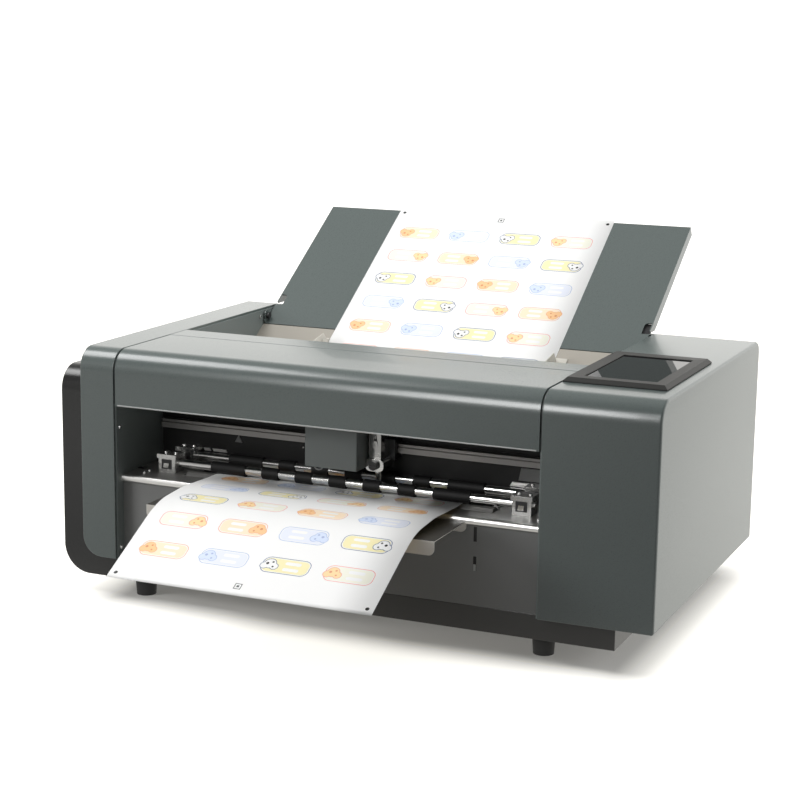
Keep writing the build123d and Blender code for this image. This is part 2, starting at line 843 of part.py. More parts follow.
def clamp_knob():
    head = rod_y(tool_x, clamp_front - run_gap - knob_l, clamp_front - run_gap, knob_z, knob_d)
    y0 = clamp_front - run_gap - knob_l
    head -= block(tool_x - knob_d, tool_x + knob_d, y0 - overrun, y0 + knob_slot_depth,
                  knob_z - knob_slot_w / 2, knob_z + knob_slot_w / 2)
    return group(head + rod_y(tool_x, y0 + knob_l, clamp_front + knob_stem_l, knob_z, knob_stem_d))


def blade_holder():
    """Holder in the clamp, with the blade as a second solid."""
    barrel = rod_z(tool_x, tool_y, clamp_ring_z, holder_top, holder_d)
    nose = rod_z(tool_x, tool_y, nose_z, clamp_ring_z, nose_d)
    mouth = Pos(tool_x, tool_y, nose_z - nose_d / 4) * Cone(blade_d, nose_d / 2, nose_d / 2)
    bore = rod_z(tool_x, tool_y, nose_z - nose_d, nose_z + blade_len, blade_d)
    shank = rod_z(tool_x, tool_y, tip_z + blade_point, nose_z + blade_len, blade_d)
    point = Pos(tool_x, tool_y, tip_z + blade_point / 2) * Cone(blade_d / 8, blade_d / 2, blade_point)
    return group(barrel + nose + mouth - bore, shank + point)


# Carriage belt, its two pulleys and the three motors
x_motor_x = bay_r + x_motor_side
x_motor_y = belt_y + pulley_w + slide_gap + plate_t


def pulley_at_y(x):
    hub = rod_y(x, belt_y, belt_y + pulley_w, belt_z, pulley_d)
    hub += rod_y(x, belt_y, belt_y + rim_w, belt_z, pulley_rim_d)
    return hub + rod_y(x, belt_y + pulley_w - rim_w, belt_y + pulley_w, belt_z, pulley_rim_d)


def idler_pulley():
    bore = rod_y(in_l + idler_in, belt_y - overrun, belt_y + 2 * pulley_w, belt_z, idler_axle_d + 2 * shaft_fit)
    return group(pulley_at_y(in_l + idler_in) - bore)


def carriage_motor_pulley():
    shaft = rod_y(x_motor_x, belt_y + pulley_w, x_motor_y + shaft_in, belt_z, motor_shaft_d)
    return group(pulley_at_y(x_motor_x) + shaft)


def carriage_belt():
    y0 = belt_y + rim_w + slide_gap
    y1 = belt_y + pulley_w - rim_w - slide_gap

    def loop(r):
        points = rect(in_l + idler_in - r, x_motor_x + r, belt_z - r, belt_z + r)
        return prism_xz(y0, y1, points, [r * belt_round_share] * 4)

    return group(loop(belt_r + belt_t) - loop(belt_r))


belt_round_share = 0.999


def stepper(x, y, z, axis):
    """Square motor body with cut corners and a boss, its shaft hole facing along the axis."""
    half = motor_size / 2
    cut = half - motor_corner
    points = [(-cut, -half), (cut, -half), (half, -cut), (half, cut), (cut, half), (-cut, half),
              (-half, cut), (-half, -cut)]
    can = extrude(outline(points), motor_l)
    bore = Cylinder(motor_shaft_d / 2 + shaft_fit, 2 * (shaft_in + run_gap))
    return Plane(origin=(x, y, z), x_dir=(0, 0, 1), z_dir=axis).location * (can - bore)


def drive_motors():
    feed = stepper(in_r, feed_motor_y, feed_motor_z, (-1, 0, 0))
    travel = stepper(x_motor_x, x_motor_y, belt_z, (0, 1, 0))
    small = rod_x(in_l, in_l + small_motor_l, pinion_y, pinion_z, small_motor_d)
    small -= rod_x(in_l - overrun, in_l + shaft_in + run_gap, pinion_y, pinion_z, pinion_bore + 2 * shaft_fit)
    return group(feed, travel, small)


# Side plates that carry everything inside
plate_inset = 3.0
window_w = 34.0
window_h = 40.0


def side_plate(x0, right):
    plate = body_profile(x0, x0 + plate_t, plate_inset, z0=z_cover - plate_inset)
    holes = [(front_nip_y, drive_z, bush_d), (rear_nip_y, drive_z, bush_d), (pickup_y, pickup_z, bush_d),
             (hinge_y, hinge_z, hinge_pin_d), (pivot_y, pivot_z, pivot_pin_d)]
    if right:
        holes.append((feed_motor_y, feed_motor_z, motor_shaft_d + 2 * plate_t))
    else:
        holes.append((pinion_y, pinion_z, pinion_bore + 2 * plate_t))
    for y, z, d in holes:
        plate -= rod_x(x0 - overrun, x0 + plate_t + overrun, y, z, d)
    if right:
        y = belt_y + pulley_w / 2
        plate -= block(x0 - overrun, x0 + plate_t + overrun, y - window_w / 2, x_motor_y,
                       belt_z - window_h / 2, belt_z + window_h / 2)
    return plate


# Feed bed in line with the tray, with slots for the paper guides
bed_end = -hypot(tray_y - bed_low_y, tray_z - bed_low_z)
bed_top = -1.5
bed_tab_w = 30.0
bed_tab_h = 12.0
bed_tab_in = 21.0
bed_tab_down = 40.0
guide_len = 80.0
guide_from = -100.0
fence_h = 12.0
fence_t = 1.5
fence_cut = 14.0
guide_foot_w = 16.0
guide_gap = 0.4
guide_travel = 16.5
rack_mid = -60.0
pinion_r = gear_module * pinion_teeth / 2
rack_off = pinion_r + gear_module * gear_root_share + slide_gap / 2
rack_bar = 4.0
rack_t = 4.0
rack_drop = 5.0
post_w = 6.0
post_x = 6.0
slot_end = 6.0
rack_teeth = 13


def guide_side(side):
    """Outward direction, fence face x and slot centre of one guide."""
    edge = mid_x + side * (sheet_w / 2 + guide_gap)
    slot_s = rack_mid - side * (rack_off + rack_bar / 2)
    return edge, slot_s


def feed_bed():
    bed = block(in_l, in_r, bed_end, bed_top, -skin, 0)
    for side in (-1, 1):
        edge, slot_s = guide_side(side)
        near = edge + side * (post_x - slot_end / 2)
        far = edge + side * (post_x + post_w + guide_travel + slot_end / 2)
        half = post_w / 2 + slide_gap
        bed -= block(min(near, far), max(near, far), slot_s - half, slot_s + half, -overrun, overrun)
    for s in (-bed_tab_down, bed_end + bed_tab_in):
        for x in (in_l, in_r - skin):
            bed += block(x, x + skin, s, s + bed_tab_w, -bed_tab_h, -skin)
    axle = rod_z(mid_x, rack_mid, -rack_drop - rack_t - skin, -skin, pinion_bore)
    return on_tray(bed + axle)


def paper_guide(side):
    """Fence and foot above the bed, with a post through the slot and a rack below."""
    edge, slot_s = guide_side(side)
    outer = edge + side * fence_t
    fence_profile = [(guide_from, run_gap), (guide_from + guide_len, run_gap),
                     (guide_from + guide_len - fence_cut, fence_h), (guide_from, fence_h)]
    fence = prism_yz(min(edge, outer), max(edge, outer), fence_profile)
    foot_x = edge + side * guide_foot_w
    foot = block(min(edge, foot_x), max(edge, foot_x), guide_from, guide_from + guide_len,
                 run_gap, run_gap + fence_t)
    post_near = edge + side * post_x
    post_far = post_near + side * post_w
    post = block(min(post_near, post_far), max(post_near, post_far), slot_s - post_w / 2,
                 slot_s + post_w / 2, -rack_drop - rack_t, run_gap)
    tip = mid_x - side * rack_teeth * gear_module * pi / 2
    bar_in = rack_mid - side * rack_off
    bar_out = bar_in - side * rack_bar
    bar = block(min(tip, post_far), max(tip, post_far), min(bar_in, bar_out), max(bar_in, bar_out),
                -rack_drop - rack_t, -rack_drop)
    guide = fence + foot + post + bar
    pitch = gear_module * pi
    reach_tip = side * (rack_off - pinion_r + gear_module * gear_tip_share)
    for index in range(rack_teeth):
        x = mid_x + (index - (rack_teeth - 1) / 2) * pitch
        wide = pitch * gear_root_width_share
        slim = pitch * gear_tip_width_share
        tooth = outline([(x - wide, bar_in - side * gear_module), (x - slim, bar_in + reach_tip),
                         (x + slim, bar_in + reach_tip), (x + wide, bar_in - side * gear_module)])
        guide += extrude(Pos(0, 0, -rack_drop - rack_t) * tooth, rack_t, dir=(0, 0, 1))
    return on_tray(guide)


def guide_pinion():
    """Pinion between the racks, with a gap between teeth facing each rack."""
    wheel = gear(pinion_teeth, gear_module, rack_t, pinion_bore + 2 * shaft_fit)
    quarter = 90 + 180 / pinion_teeth
    return on_tray(Pos(mid_x, rack_mid, -rack_drop - rack_t / 2) * Rot(0, 0, quarter) * wheel)


# Screen: chamfered bezel on the right cover, glass and module below it
bezel_left = 16.5
bezel_right = 14.0
bezel_front = 15.5
bezel_rear = 20.5
bezel_h = 5.5
bezel_chamfer = 4.0
window_in = 2.0
glass_t = 1.5
glass_sink = 1.2
module_t = 12.0
bezel_x0 = screen_x0 - bezel_left
bezel_x1 = screen_x1 + bezel_right
bezel_y0 = screen_y0 - bezel_front
bezel_y1 = screen_y1 + bezel_rear


def display_bezel():
    frame = block(bezel_x0, bezel_x1, bezel_y0, bezel_y1, z_top, z_top + bezel_h)
    frame = chamfer(frame.faces().sort_by(Axis.Z)[-1].edges(), bezel_chamfer)
    frame -= block(screen_x0 + window_in, screen_x1 - window_in, screen_y0 + window_in,
                   screen_y1 - window_in, z_top - overrun, z_top + 2 * overrun)
    frame -= block(screen_x0, screen_x1, screen_y0, screen_y1, z_top - overrun,
                   z_top + bezel_h - glass_sink)
    return frame


def display_glass():
    top = z_top + bezel_h - glass_sink
    glass = block(screen_x0, screen_x1, screen_y0, screen_y1, top - glass_t, top)
    module = block(screen_x0, screen_x1, screen_y0, screen_y1, top - glass_t - module_t, top - glass_t)
    return group(glass, module)


# Electronics behind the right plate
board_off = 10.0
board_t = 1.6
board_back = 235.0
board_len = 150.0
board_up = 61.0
board_high = 105.0
chip_t = 4.0
chip_shares = ((0.1, 0.3, 0.1, 0.35), (0.42, 0.62, 0.4, 0.75), (0.7, 0.92, 0.15, 0.4), (0.15, 0.32, 0.6, 0.9))
standoff_d = 6.0
standoff_in = 8.0
supply_in = 24.0
supply_w = 56.0
supply_back = 210.0
supply_l = 150.0
supply_h = 34.0
board_x = bay_r + board_off
board_y0 = body_d - board_back
board_y1 = board_y0 + board_len
board_z0 = z_cover + board_up
board_z1 = board_z0 + board_high
supply_x0 = bay_r + supply_in
supply_y0 = body_d - supply_back


def control_board():
    board = block(board_x, board_x + board_t, board_y0, board_y1, board_z0, board_z1)
    wide = board_y1 - board_y0
    high = board_z1 - board_z0
    for y0, y1, z0, z1 in chip_shares:
        board += block(board_x + board_t, board_x + board_t + chip_t, board_y0 + wide * y0,
                       board_y0 + wide * y1, board_z0 + high * z0, board_z0 + high * z1)
    for y in (board_y0 + standoff_in, board_y1 - standoff_in):
        for z in (board_z0 + standoff_in, board_z1 - standoff_in):
            board += rod_x(bay_r, board_x, y, z, standoff_d)
    return board


def power_supply():
    z0 = z_cover + skin
    case = block(supply_x0, supply_x0 + supply_w, supply_y0, supply_y0 + supply_l, z0, z0 + supply_h)
    return chamfer(case.edges().filter_by(Axis.Y), skin)


# Rear sockets, rocker switch and fan on the right cover's back
inlet_depth = 22.0
inlet_cavity = 15.0
inlet_wall = 2.5
inlet_flange = 2.0
rim = 2.0
port_depth = 14.0
port_wall = 1.5
pin_d = 2.5
pin_pitch = 7.0
switch_wall = 1.5
switch_depth = 14.0
rocker_pin_d = 3.0
rocker_depth = 7.0
rocker_tilt = 8.0
rocker_proud = 2.5
fan_t = 10.0
fan_bore = 37.0
fan_hub_d = 16.0
fan_blades = 7
fan_blade_t = 1.2
fan_tip_d = 35.5
fan_axle_d = 3.0
back_in = body_d - skin
rocker_y = body_d - rocker_depth / 2


def socket_shell(x, z, w, h, depth, wall, cavity):
    """Moulded socket through the back, with a rim outside and a cavity open to the rear."""
    y0 = back_in - depth
    shell = block(x - w / 2, x + w / 2, y0, body_d, z - h / 2, z + h / 2)
    shell += block(x - w / 2 - rim, x + w / 2 + rim, body_d, body_d + inlet_flange, z - h / 2 - rim, z + h / 2 + rim)
    shell -= block(x - w / 2 + wall, x + w / 2 - wall, body_d - cavity, body_d + overrun,
                   z - h / 2 + wall, z + h / 2 - wall)
    return shell


def rear_sockets():
    inlet = socket_shell(inlet_x, inlet_z, inlet_w, inlet_h, inlet_depth, inlet_wall, inlet_cavity)
    for step in (-1, 0, 1):
        inlet += rod_y(inlet_x + step * pin_pitch, body_d - inlet_cavity, body_d - rim, inlet_z, pin_d)
    port = socket_shell(port_x, port_z, port_w, port_h, port_depth, port_wall, port_depth / 2)
    switch = socket_shell(switch_x, inlet_z, switch_w, switch_h, switch_depth, switch_wall, switch_depth)
    half = switch_w / 2 - switch_wall
    switch += rod_x(switch_x - half, switch_x + half, rocker_y, inlet_z, rocker_pin_d)
    return group(inlet, port, switch)


def power_rocker():
    """Rocker on its pin, shown in its off position."""
    w = switch_w - 2 * switch_wall - 2 * slide_gap
    h = switch_h - 2 * switch_wall - 2 * slide_gap
    points = [(-rocker_depth / 3, -h / 3), (rocker_depth / 2, -h / 2 + rocker_proud / 2),
              (rocker_depth / 2 + rocker_proud / 3, 0), (rocker_depth / 2, h / 2 - rocker_proud / 2),
              (-rocker_depth / 3, h / 3)]
    form = prism_yz(switch_x - w / 2, switch_x + w / 2, points)
    bore = rod_x(switch_x - w, switch_x + w, 0, 0, rocker_pin_d + 2 * shaft_fit)
    return Pos(0, rocker_y, inlet_z) * Rot(rocker_tilt, 0, 0) * (form - bore)


def fan_frame():
    half = fan_size / 2
    frame = block(fan_x - half, fan_x + half, back_in - fan_t, back_in, fan_z - half, fan_z + half)
    frame -= rod_y(fan_x, back_in - fan_t - overrun, back_in + overrun, fan_z, fan_bore)
    y0 = back_in - fan_t
    for turn in range(3):
        arm = block(0, fan_bore / 2 + rim, 0, rim / 2, -rim / 2, rim / 2)
        frame += Pos(fan_x, y0, fan_z) * Rot(0, turn * 120 + 30, 0) * arm
    hub = rod_y(fan_x, y0, y0 + rim, fan_z, fan_hub_d)
    axle = rod_y(fan_x, y0, back_in - rim, fan_z, fan_axle_d)
    return frame + hub + axle


def fan_rotor():
    y0 = back_in - fan_t + rim + slide_gap
    y1 = back_in - rim / 2
    hub = rod_y(fan_x, y0, y1, fan_z, fan_hub_d)
    reach = fan_tip_d / 2
    for index in range(fan_blades):
        blade = block(fan_hub_d / 3, reach, -(y1 - y0) / 2.5, (y1 - y0) / 2.5, -fan_blade_t / 2, fan_blade_t / 2)
        blade = Rot(0, index * 360 / fan_blades, 0) * Rot(35, 0, 0) * blade
        hub += Pos(fan_x, (y0 + y1) / 2, fan_z) * blade
    return hub - rod_y(fan_x, y0 - overrun, y1 - rim / 2, fan_z, fan_axle_d + 2 * shaft_fit)


# Visible screws: table, bracket caps, bay wall, tray pivots and output tray
screw_d = 5.0
screw_h = 1.6
socket_d = 2.4
table_screw_left = 20.0
table_screw_right = 9.0
table_screw_ys = (30.0, 42.0)
wall_screw_y = 9.0
wall_screw_up = 13.0
wall_screw_down = 26.0
recess_screw_back = 16.0
bracket_screw_in = 4.5


def screw(d=screw_d):
    """Domed screw head with a hex socket, standing on z = 0."""
    head = Cylinder(d / 2, screw_h, align=(Align.CENTER, Align.CENTER, Align.MIN))
    head = fillet(head.faces().sort_by(Axis.Z)[-1].edges(), screw_h / 2)
    recess = extrude(RegularPolygon(socket_d / 2, 6), screw_h)
    return head - Pos(0, 0, screw_h / 2) * recess


def panel_screws():
    places = []
    for x in (in_l + table_screw_left, in_r - table_screw_right):
        for y in table_screw_ys:
            places.append(Plane(origin=(x, y, table_z), z_dir=(0, 0, 1)))
    for x, y in bracket_places():
        for dx in (bracket_screw_in, bracket_w - bracket_screw_in):
            places.append(Plane(origin=(x + dx, y, table_z + bracket_h + bracket_cap), z_dir=(0, 0, 1)))
    for x, way in ((in_l, 1), (in_r, -1)):
        for z in (z_cover + wall_screw_up, cover_bottom - wall_screw_down):
            places.append(Plane(origin=(x, wall_screw_y, z), z_dir=(way, 0, 0)))
        places.append(Plane(origin=(x, pivot_y - recess_screw_back, pivot_z), z_dir=(way, 0, 0)))
    return group(*[place.location * screw() for place in places])


# Sheets: one waiting on tray and bed, one leaving over the output tray
sheet_top_share = 0.66026
sheet_part_gap = 0.8
out_flat_y = 34.0
out_crest_y = -28.0
out_crest_z = 6.0
out_bend_y = -84.0
out_bend_z = 2.0
out_tip_y = -190.0
out_tip_z = -55.0
sheet_top = sheet_len * sheet_top_share
out_radii = (120.0, 150.0, 60.0)


def tray_sheet():
    return on_tray(block(sheet_l, sheet_r, 0, sheet_top, 0, sheet_t))


def bed_sheet():
    return on_tray(block(sheet_l, sheet_r, sheet_top - sheet_len, -sheet_part_gap, 0, sheet_t))


def output_path(tail_y):
    """Middle line of the leaving sheet, from its tail behind the rear roller to its tip."""
    base = table_z + sheet_t / 2
    nip = sheet_z + sheet_t / 2
    path = [(tail_y, nip), (out_flat_y, nip), (out_crest_y, base + out_crest_z),
            (out_bend_y, base + out_bend_z), (out_tip_y, base + out_tip_z)]
    return FilletPolyline(*path, radius=out_radii)


def output_sheet():
    spare = output_path(sheet_len).length - sheet_len
    strip = trace(output_path(sheet_len - spare), sheet_t)
    return extrude(Plane.YZ.offset(sheet_l) * strip, sheet_w, dir=(1, 0, 0))


parts = {
    "base_pan": base_pan(),
    "feet": feet(),
    "left_cover": left_cover(),
    "left_side_housing": left_side_housing(),
    "right_cover": right_cover(),
    "rear_panel": rear_panel(),
    "top_bridge": top_bridge(),
    "front_cover": front_cover(),
    "cover_hinge_pins": cover_hinge_pins(),
    "paper_tray": paper_tray(),
    "tray_pivots": tray_pivots(),
    "feed_bed": feed_bed(),
    "left_paper_guide": paper_guide(-1),
    "right_paper_guide": paper_guide(1),
    "guide_pinion": guide_pinion(),
    "pickup_shaft": pickup_shaft(),
    "pickup_tyres": pickup_tyres(),
    "pickup_pinion": pickup_pinion(),
    "left_side_plate": side_plate(bay_l, False),
    "right_side_plate": side_plate(in_r, True),
    "table": table(),
    "table_edge": table_edge(),
    "cutting_strip": cutting_strip(),
    "front_panel": front_panel(),
    "output_tray": output_tray(),
    "front_drive_roller": drive_roller(front_nip_y),
    "rear_drive_roller": drive_roller(rear_nip_y),
    "feed_belt": feed_belt(),
    "feed_motor_pulley": feed_motor_pulley(),
    "roller_bushes": roller_bushes(),
    "front_pinch_shaft": pinch_shaft(front_nip_y),
    "front_pinch_sleeves": pinch_sleeves(front_nip_y),
    "rear_pinch_shaft": pinch_shaft(rear_nip_y),
    "rear_pinch_sleeves": pinch_sleeves(rear_nip_y),
    "pinch_brackets": pinch_brackets(),
    "beam": beam(),
    "rail": rail(),
    "carriage_block": carriage_block(),
    "carriage_cover": carriage_cover(),
    "lift_solenoid": lift_solenoid(),
    "tool_slide": tool_slide(),
    "tool_clamp": tool_clamp(),
    "clamp_knob": clamp_knob(),
    "blade_holder": blade_holder(),
    "carriage_belt": carriage_belt(),
    "carriage_motor_pulley": carriage_motor_pulley(),
    "idler_pulley": idler_pulley(),
    "drive_motors": drive_motors(),
    "display_bezel": display_bezel(),
    "display_glass": display_glass(),
    "control_board": control_board(),
    "power_supply": power_supply(),
    "rear_sockets": rear_sockets(),
    "power_rocker": power_rocker(),
    "fan_frame": fan_frame(),
    "fan_rotor": fan_rotor(),
    "panel_screws": panel_screws(),
    "tray_sheet": tray_sheet(),
    "output_sheet": output_sheet(),
}
parts["bed_sheet"] = bed_sheet()

# The origin is on the floor under the middle of the whole machine's outline
boxes = [shape.bounding_box() for shape in parts.values()]
origin_x = (min(box.min.X for box in boxes) + max(box.max.X for box in boxes)) / 2
origin_y = (min(box.min.Y for box in boxes) + max(box.max.Y for box in boxes)) / 2

os.makedirs("parts", exist_ok=True)
for name, shape in parts.items():
    placed = Pos(-origin_x, -origin_y, 0) * group(shape)
    export_step(placed, os.path.join("parts", name + ".step"))
print(len(parts), "nodes, origin shift", origin_x, origin_y)
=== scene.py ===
import bpy
import bmesh
import math
from mathutils import Matrix, Vector


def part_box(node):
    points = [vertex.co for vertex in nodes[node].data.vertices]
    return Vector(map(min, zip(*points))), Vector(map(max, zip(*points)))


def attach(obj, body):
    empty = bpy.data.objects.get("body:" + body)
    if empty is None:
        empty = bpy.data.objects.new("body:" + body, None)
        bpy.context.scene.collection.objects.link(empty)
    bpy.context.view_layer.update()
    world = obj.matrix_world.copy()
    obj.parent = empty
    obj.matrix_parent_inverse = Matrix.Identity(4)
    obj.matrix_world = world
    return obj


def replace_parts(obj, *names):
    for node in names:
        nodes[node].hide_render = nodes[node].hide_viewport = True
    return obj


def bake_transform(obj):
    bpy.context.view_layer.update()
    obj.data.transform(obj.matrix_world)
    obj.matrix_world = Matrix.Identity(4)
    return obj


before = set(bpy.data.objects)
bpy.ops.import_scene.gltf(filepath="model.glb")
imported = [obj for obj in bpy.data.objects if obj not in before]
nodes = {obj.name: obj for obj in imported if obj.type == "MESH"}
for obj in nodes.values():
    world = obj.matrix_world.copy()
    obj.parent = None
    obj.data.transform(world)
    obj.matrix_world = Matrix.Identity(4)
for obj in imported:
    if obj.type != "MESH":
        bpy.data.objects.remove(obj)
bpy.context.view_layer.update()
scene = bpy.context.scene

# Photographer's place: a long lens in front of the machine, to its right and a little above,
# turned a trace about its own axis.
eye = Vector((0.8698, -2.0390, 0.6781))
yaw = math.radians(23.34)
pitch = math.radians(11.46)
roll = math.radians(0.8)
ahead = Vector((-math.sin(yaw) * math.cos(pitch), math.cos(yaw) * math.cos(pitch), -math.sin(pitch)))
level = Vector((math.cos(yaw), math.sin(yaw), 0))
upward = level.cross(ahead)
side = math.cos(roll) * level + math.sin(roll) * upward
top = -math.sin(roll) * level + math.cos(roll) * upward
camera = bpy.data.objects.new("camera", bpy.data.cameras.new("camera"))
camera.data.sensor_width = 36
camera.data.lens = 86.26
camera.data.clip_end = 30
camera.matrix_world = Matrix.Translation(eye) @ Matrix((side, top, -ahead)).transposed().to_4x4()
scene.collection.objects.link(camera)
scene.camera = camera

# White studio: the air round the machine is white to the lens and in reflections, dimmer overhead
# and in front, and besides gives only a weak even light.


def feed(socket, value):
    """Sets a number or a colour in a socket, or links another socket to it."""
    if isinstance(value, (int, float)):
        socket.default_value = value
    elif isinstance(value, tuple):
        socket.default_value = (*value, 1)
    else:
        socket.id_data.links.new(value, socket)


def calc(operation, *values):
    """Math node on sockets and numbers, in the node tree that the sockets are from."""
    tree = next(value.id_data for value in values if not isinstance(value, (int, float)))
    made = tree.nodes.new("ShaderNodeMath")
    made.operation = operation
    for socket, value in zip(made.inputs, values):
        feed(socket, value)
    return made.outputs[0]


def graded(value, start, end, first, last, curve="LINEAR"):
    """Goes from first to last while the value goes from start to end, and stays there."""
    made = value.id_data.nodes.new("ShaderNodeMapRange")
    made.interpolation_type = curve
    for label, number in (("Value", value), ("From Min", start), ("From Max", end),
                          ("To Min", first), ("To Max", last)):
        feed(made.inputs[label], number)
    return made.outputs[0]


scene.view_settings.view_transform = "Standard"
world = bpy.data.worlds.new("studio")
scene.world = world
world.use_nodes = True
air = world.node_tree
air.nodes.clear()
path = air.nodes.new("ShaderNodeLightPath")
seen = calc("MAXIMUM", path.outputs["Is Camera Ray"], path.outputs["Is Glossy Ray"])
seen = calc("MAXIMUM", seen, path.outputs["Is Transmission Ray"])
around = air.nodes.new("ShaderNodeTexCoord")
heading = air.nodes.new("ShaderNodeSeparateXYZ")
feed(heading.inputs[0], around.outputs["Generated"])
low_down = graded(heading.outputs["Z"], 0.3, 0.75, 1.5, 0.32, "SMOOTHSTEP")
behind = graded(heading.outputs["Y"], -0.2, 0.3, 0.3, 1.0, "SMOOTHSTEP")
soft = air.nodes.new("ShaderNodeBackground")
feed(soft.inputs["Color"], (1, 1, 1))
feed(soft.inputs["Strength"], 0.16)
bright = air.nodes.new("ShaderNodeBackground")
feed(bright.inputs["Color"], (1, 0.985, 0.955))
feed(bright.inputs["Strength"], calc("MULTIPLY", low_down, behind))
blend = air.nodes.new("ShaderNodeMixShader")
feed(blend.inputs[0], seen)
feed(blend.inputs[1], soft.outputs[0])
feed(blend.inputs[2], bright.outputs[0])
out = air.nodes.new("ShaderNodeOutputWorld")
feed(out.inputs["Surface"], blend.outputs[0])

# Studio floor: close round the base pan it takes a soft shadow, partly cast by the lamps and partly
# painted, as its glow to the lens is dimmed there; further out it is white to the lens.
# In reflections it is bright behind and to the left, and dark in front.


def distance(a, b):
    """Length of the slope of a right triangle with the sides a and b."""
    return calc("SQRT", calc("ADD", calc("MULTIPLY", a, a), calc("MULTIPLY", b, b)))


def beyond(value, half):
    """How far a value lies outside the stretch from -half to half."""
    return calc("MAXIMUM", calc("SUBTRACT", calc("ABSOLUTE", value), half), 0.0)


def over(ground, ink, mask):
    """Ground where the mask is 0 and ink where it is 1, each a colour or a socket."""
    mix = mask.id_data.nodes.new("ShaderNodeMix")
    mix.data_type = "RGBA"
    for label, value in (("Factor", mask), ("A", ground), ("B", ink)):
        feed(mix.inputs[label], value)
    return mix.outputs["Result"]


def piece_of(name, form, *materials):
    """Object of a finished bmesh, placed in the scene."""
    mesh = bpy.data.meshes.new(name)
    form.to_mesh(mesh)
    form.free()
    for material in materials:
        mesh.materials.append(material)
    piece = bpy.data.objects.new(name, mesh)
    scene.collection.objects.link(piece)
    return piece


floor_white = bpy.data.materials.new("floor_white")
floor_white.use_nodes = True
tree = floor_white.node_tree
tree.nodes.clear()
path = tree.nodes.new("ShaderNodeLightPath")
where = tree.nodes.new("ShaderNodeTexCoord")
spot = tree.nodes.new("ShaderNodeSeparateXYZ")
feed(spot.inputs[0], where.outputs["Object"])
low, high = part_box("base_pan")
past_base = [beyond(calc("SUBTRACT", spot.outputs[axis], (near + far) / 2), (far - near) / 2)
             for axis, near, far in (("X", low.x, high.x), ("Y", low.y, high.y))]
# Painted contact shadow: the floor's glow to the lens is dimmed close round the base pan's footprint.
painted_contact_shadow = graded(distance(*past_base), -0.02, 0.065, 0.01, 0.9, "SMOOTHSTEP")
white_out = graded(distance(spot.outputs["X"], spot.outputs["Y"]), 0.5, 0.9, 0.0, 1.0)
to_lens = calc("MULTIPLY", path.outputs["Is Camera Ray"], calc("MAXIMUM", painted_contact_shadow, white_out))
leftward = graded(spot.outputs["X"], -1.4, 0.2, 0.62, 0.08)
rearward = graded(spot.outputs["Y"], -0.42, -0.12, 0.0, 0.95)
to_metal = calc("MULTIPLY", calc("MAXIMUM", leftward, rearward), path.outputs["Is Glossy Ray"])
matt = tree.nodes.new("ShaderNodeBsdfDiffuse")
feed(matt.inputs["Color"], over((0.26, 0.26, 0.26), (0.66, 0.655, 0.64), path.outputs["Is Camera Ray"]))
glow = tree.nodes.new("ShaderNodeEmission")
feed(glow.inputs["Color"], (1, 0.98, 0.92))
feed(glow.inputs["Strength"], calc("MAXIMUM", to_metal, to_lens))
both = tree.nodes.new("ShaderNodeAddShader")
feed(both.inputs[0], matt.outputs[0])
feed(both.inputs[1], glow.outputs[0])
out = tree.nodes.new("ShaderNodeOutputMaterial")
feed(out.inputs["Surface"], both.outputs[0])
sweep = bmesh.new()
bmesh.ops.create_circle(sweep, cap_ends=True, segments=64, radius=2.2)
floor = piece_of("studio_floor", sweep, floor_white)

# Lamps: three soft boxes that light the machine and aren't mirrored in it, a strip overhead that is
# mirrored too, and a card in front that only shows as a reflection.
for name, place, aim, wide, tall, power, lights, mirrored in (
        ("overhead_box", (0.0, 0.3, 2.3), (0, 0, 0.2), 2.2, 2.2, 39, True, False),
        ("left_box", (-1.9, -1.6, 0.9), (0, 0, 0.15), 0.8, 0.8, 25, True, False),
        ("right_box", (2.4, 0.7, 0.8), (0.2, 0, 0.15), 1.6, 1.6, 34, True, False),
        ("overhead_strip", (-1.4, -0.42, 2.1), (-0.3, -0.15, 0.25), 1.0, 0.85, 22, True, True),
        ("front_card", (-0.3, -1.9, 1.1), (0.35, -0.2, 0.25), 0.9, 0.8, 24, False, True)):
    lamp = bpy.data.objects.new(name, bpy.data.lights.new(name, "AREA"))
    lamp.data.shape = "RECTANGLE"
    lamp.data.size = wide
    lamp.data.size_y = tall
    lamp.data.energy = power
    lamp.visible_diffuse = lights
    lamp.visible_glossy = mirrored
    lamp.location = place
    lamp.rotation_mode = "QUATERNION"
    lamp.rotation_quaternion = (Vector(aim) - Vector(place)).to_track_quat("-Z", "Y")
    scene.collection.objects.link(lamp)

# Base pan: folded steel in matt black powder paint, which carries the whole machine. Its bends have
# the small radius of a press brake. It stands on round rubber feet.

# The shader group of every finish gives two tones in broad clouds, a roughness that varies with a
# fine grain, and the grain's height. A Stretch below 1 draws the grain out along x.
skin = bpy.data.node_groups.new("worked_surface", "ShaderNodeTree")
for label in ("Main", "Shade"):
    skin.interface.new_socket(label, in_out="INPUT", socket_type="NodeSocketColor")
for label in ("Grain", "Clouding", "Roughness", "Unevenness", "Stretch"):
    skin.interface.new_socket(label, in_out="INPUT", socket_type="NodeSocketFloat")
skin.interface.new_socket("Color", in_out="OUTPUT", socket_type="NodeSocketColor")
for label in ("Roughness", "Height"):
    skin.interface.new_socket(label, in_out="OUTPUT", socket_type="NodeSocketFloat")
given = skin.nodes.new("NodeGroupInput")
put = skin.nodes.new("NodeGroupOutput")


def noise(coordinate, scale, detail):
    """Cloudy noise at a coordinate, about 0.5 on average."""
    made = coordinate.id_data.nodes.new("ShaderNodeTexNoise")
    for label, value in (("Vector", coordinate), ("Scale", scale), ("Detail", detail)):
        feed(made.inputs[label], value)
    return made.outputs[0]


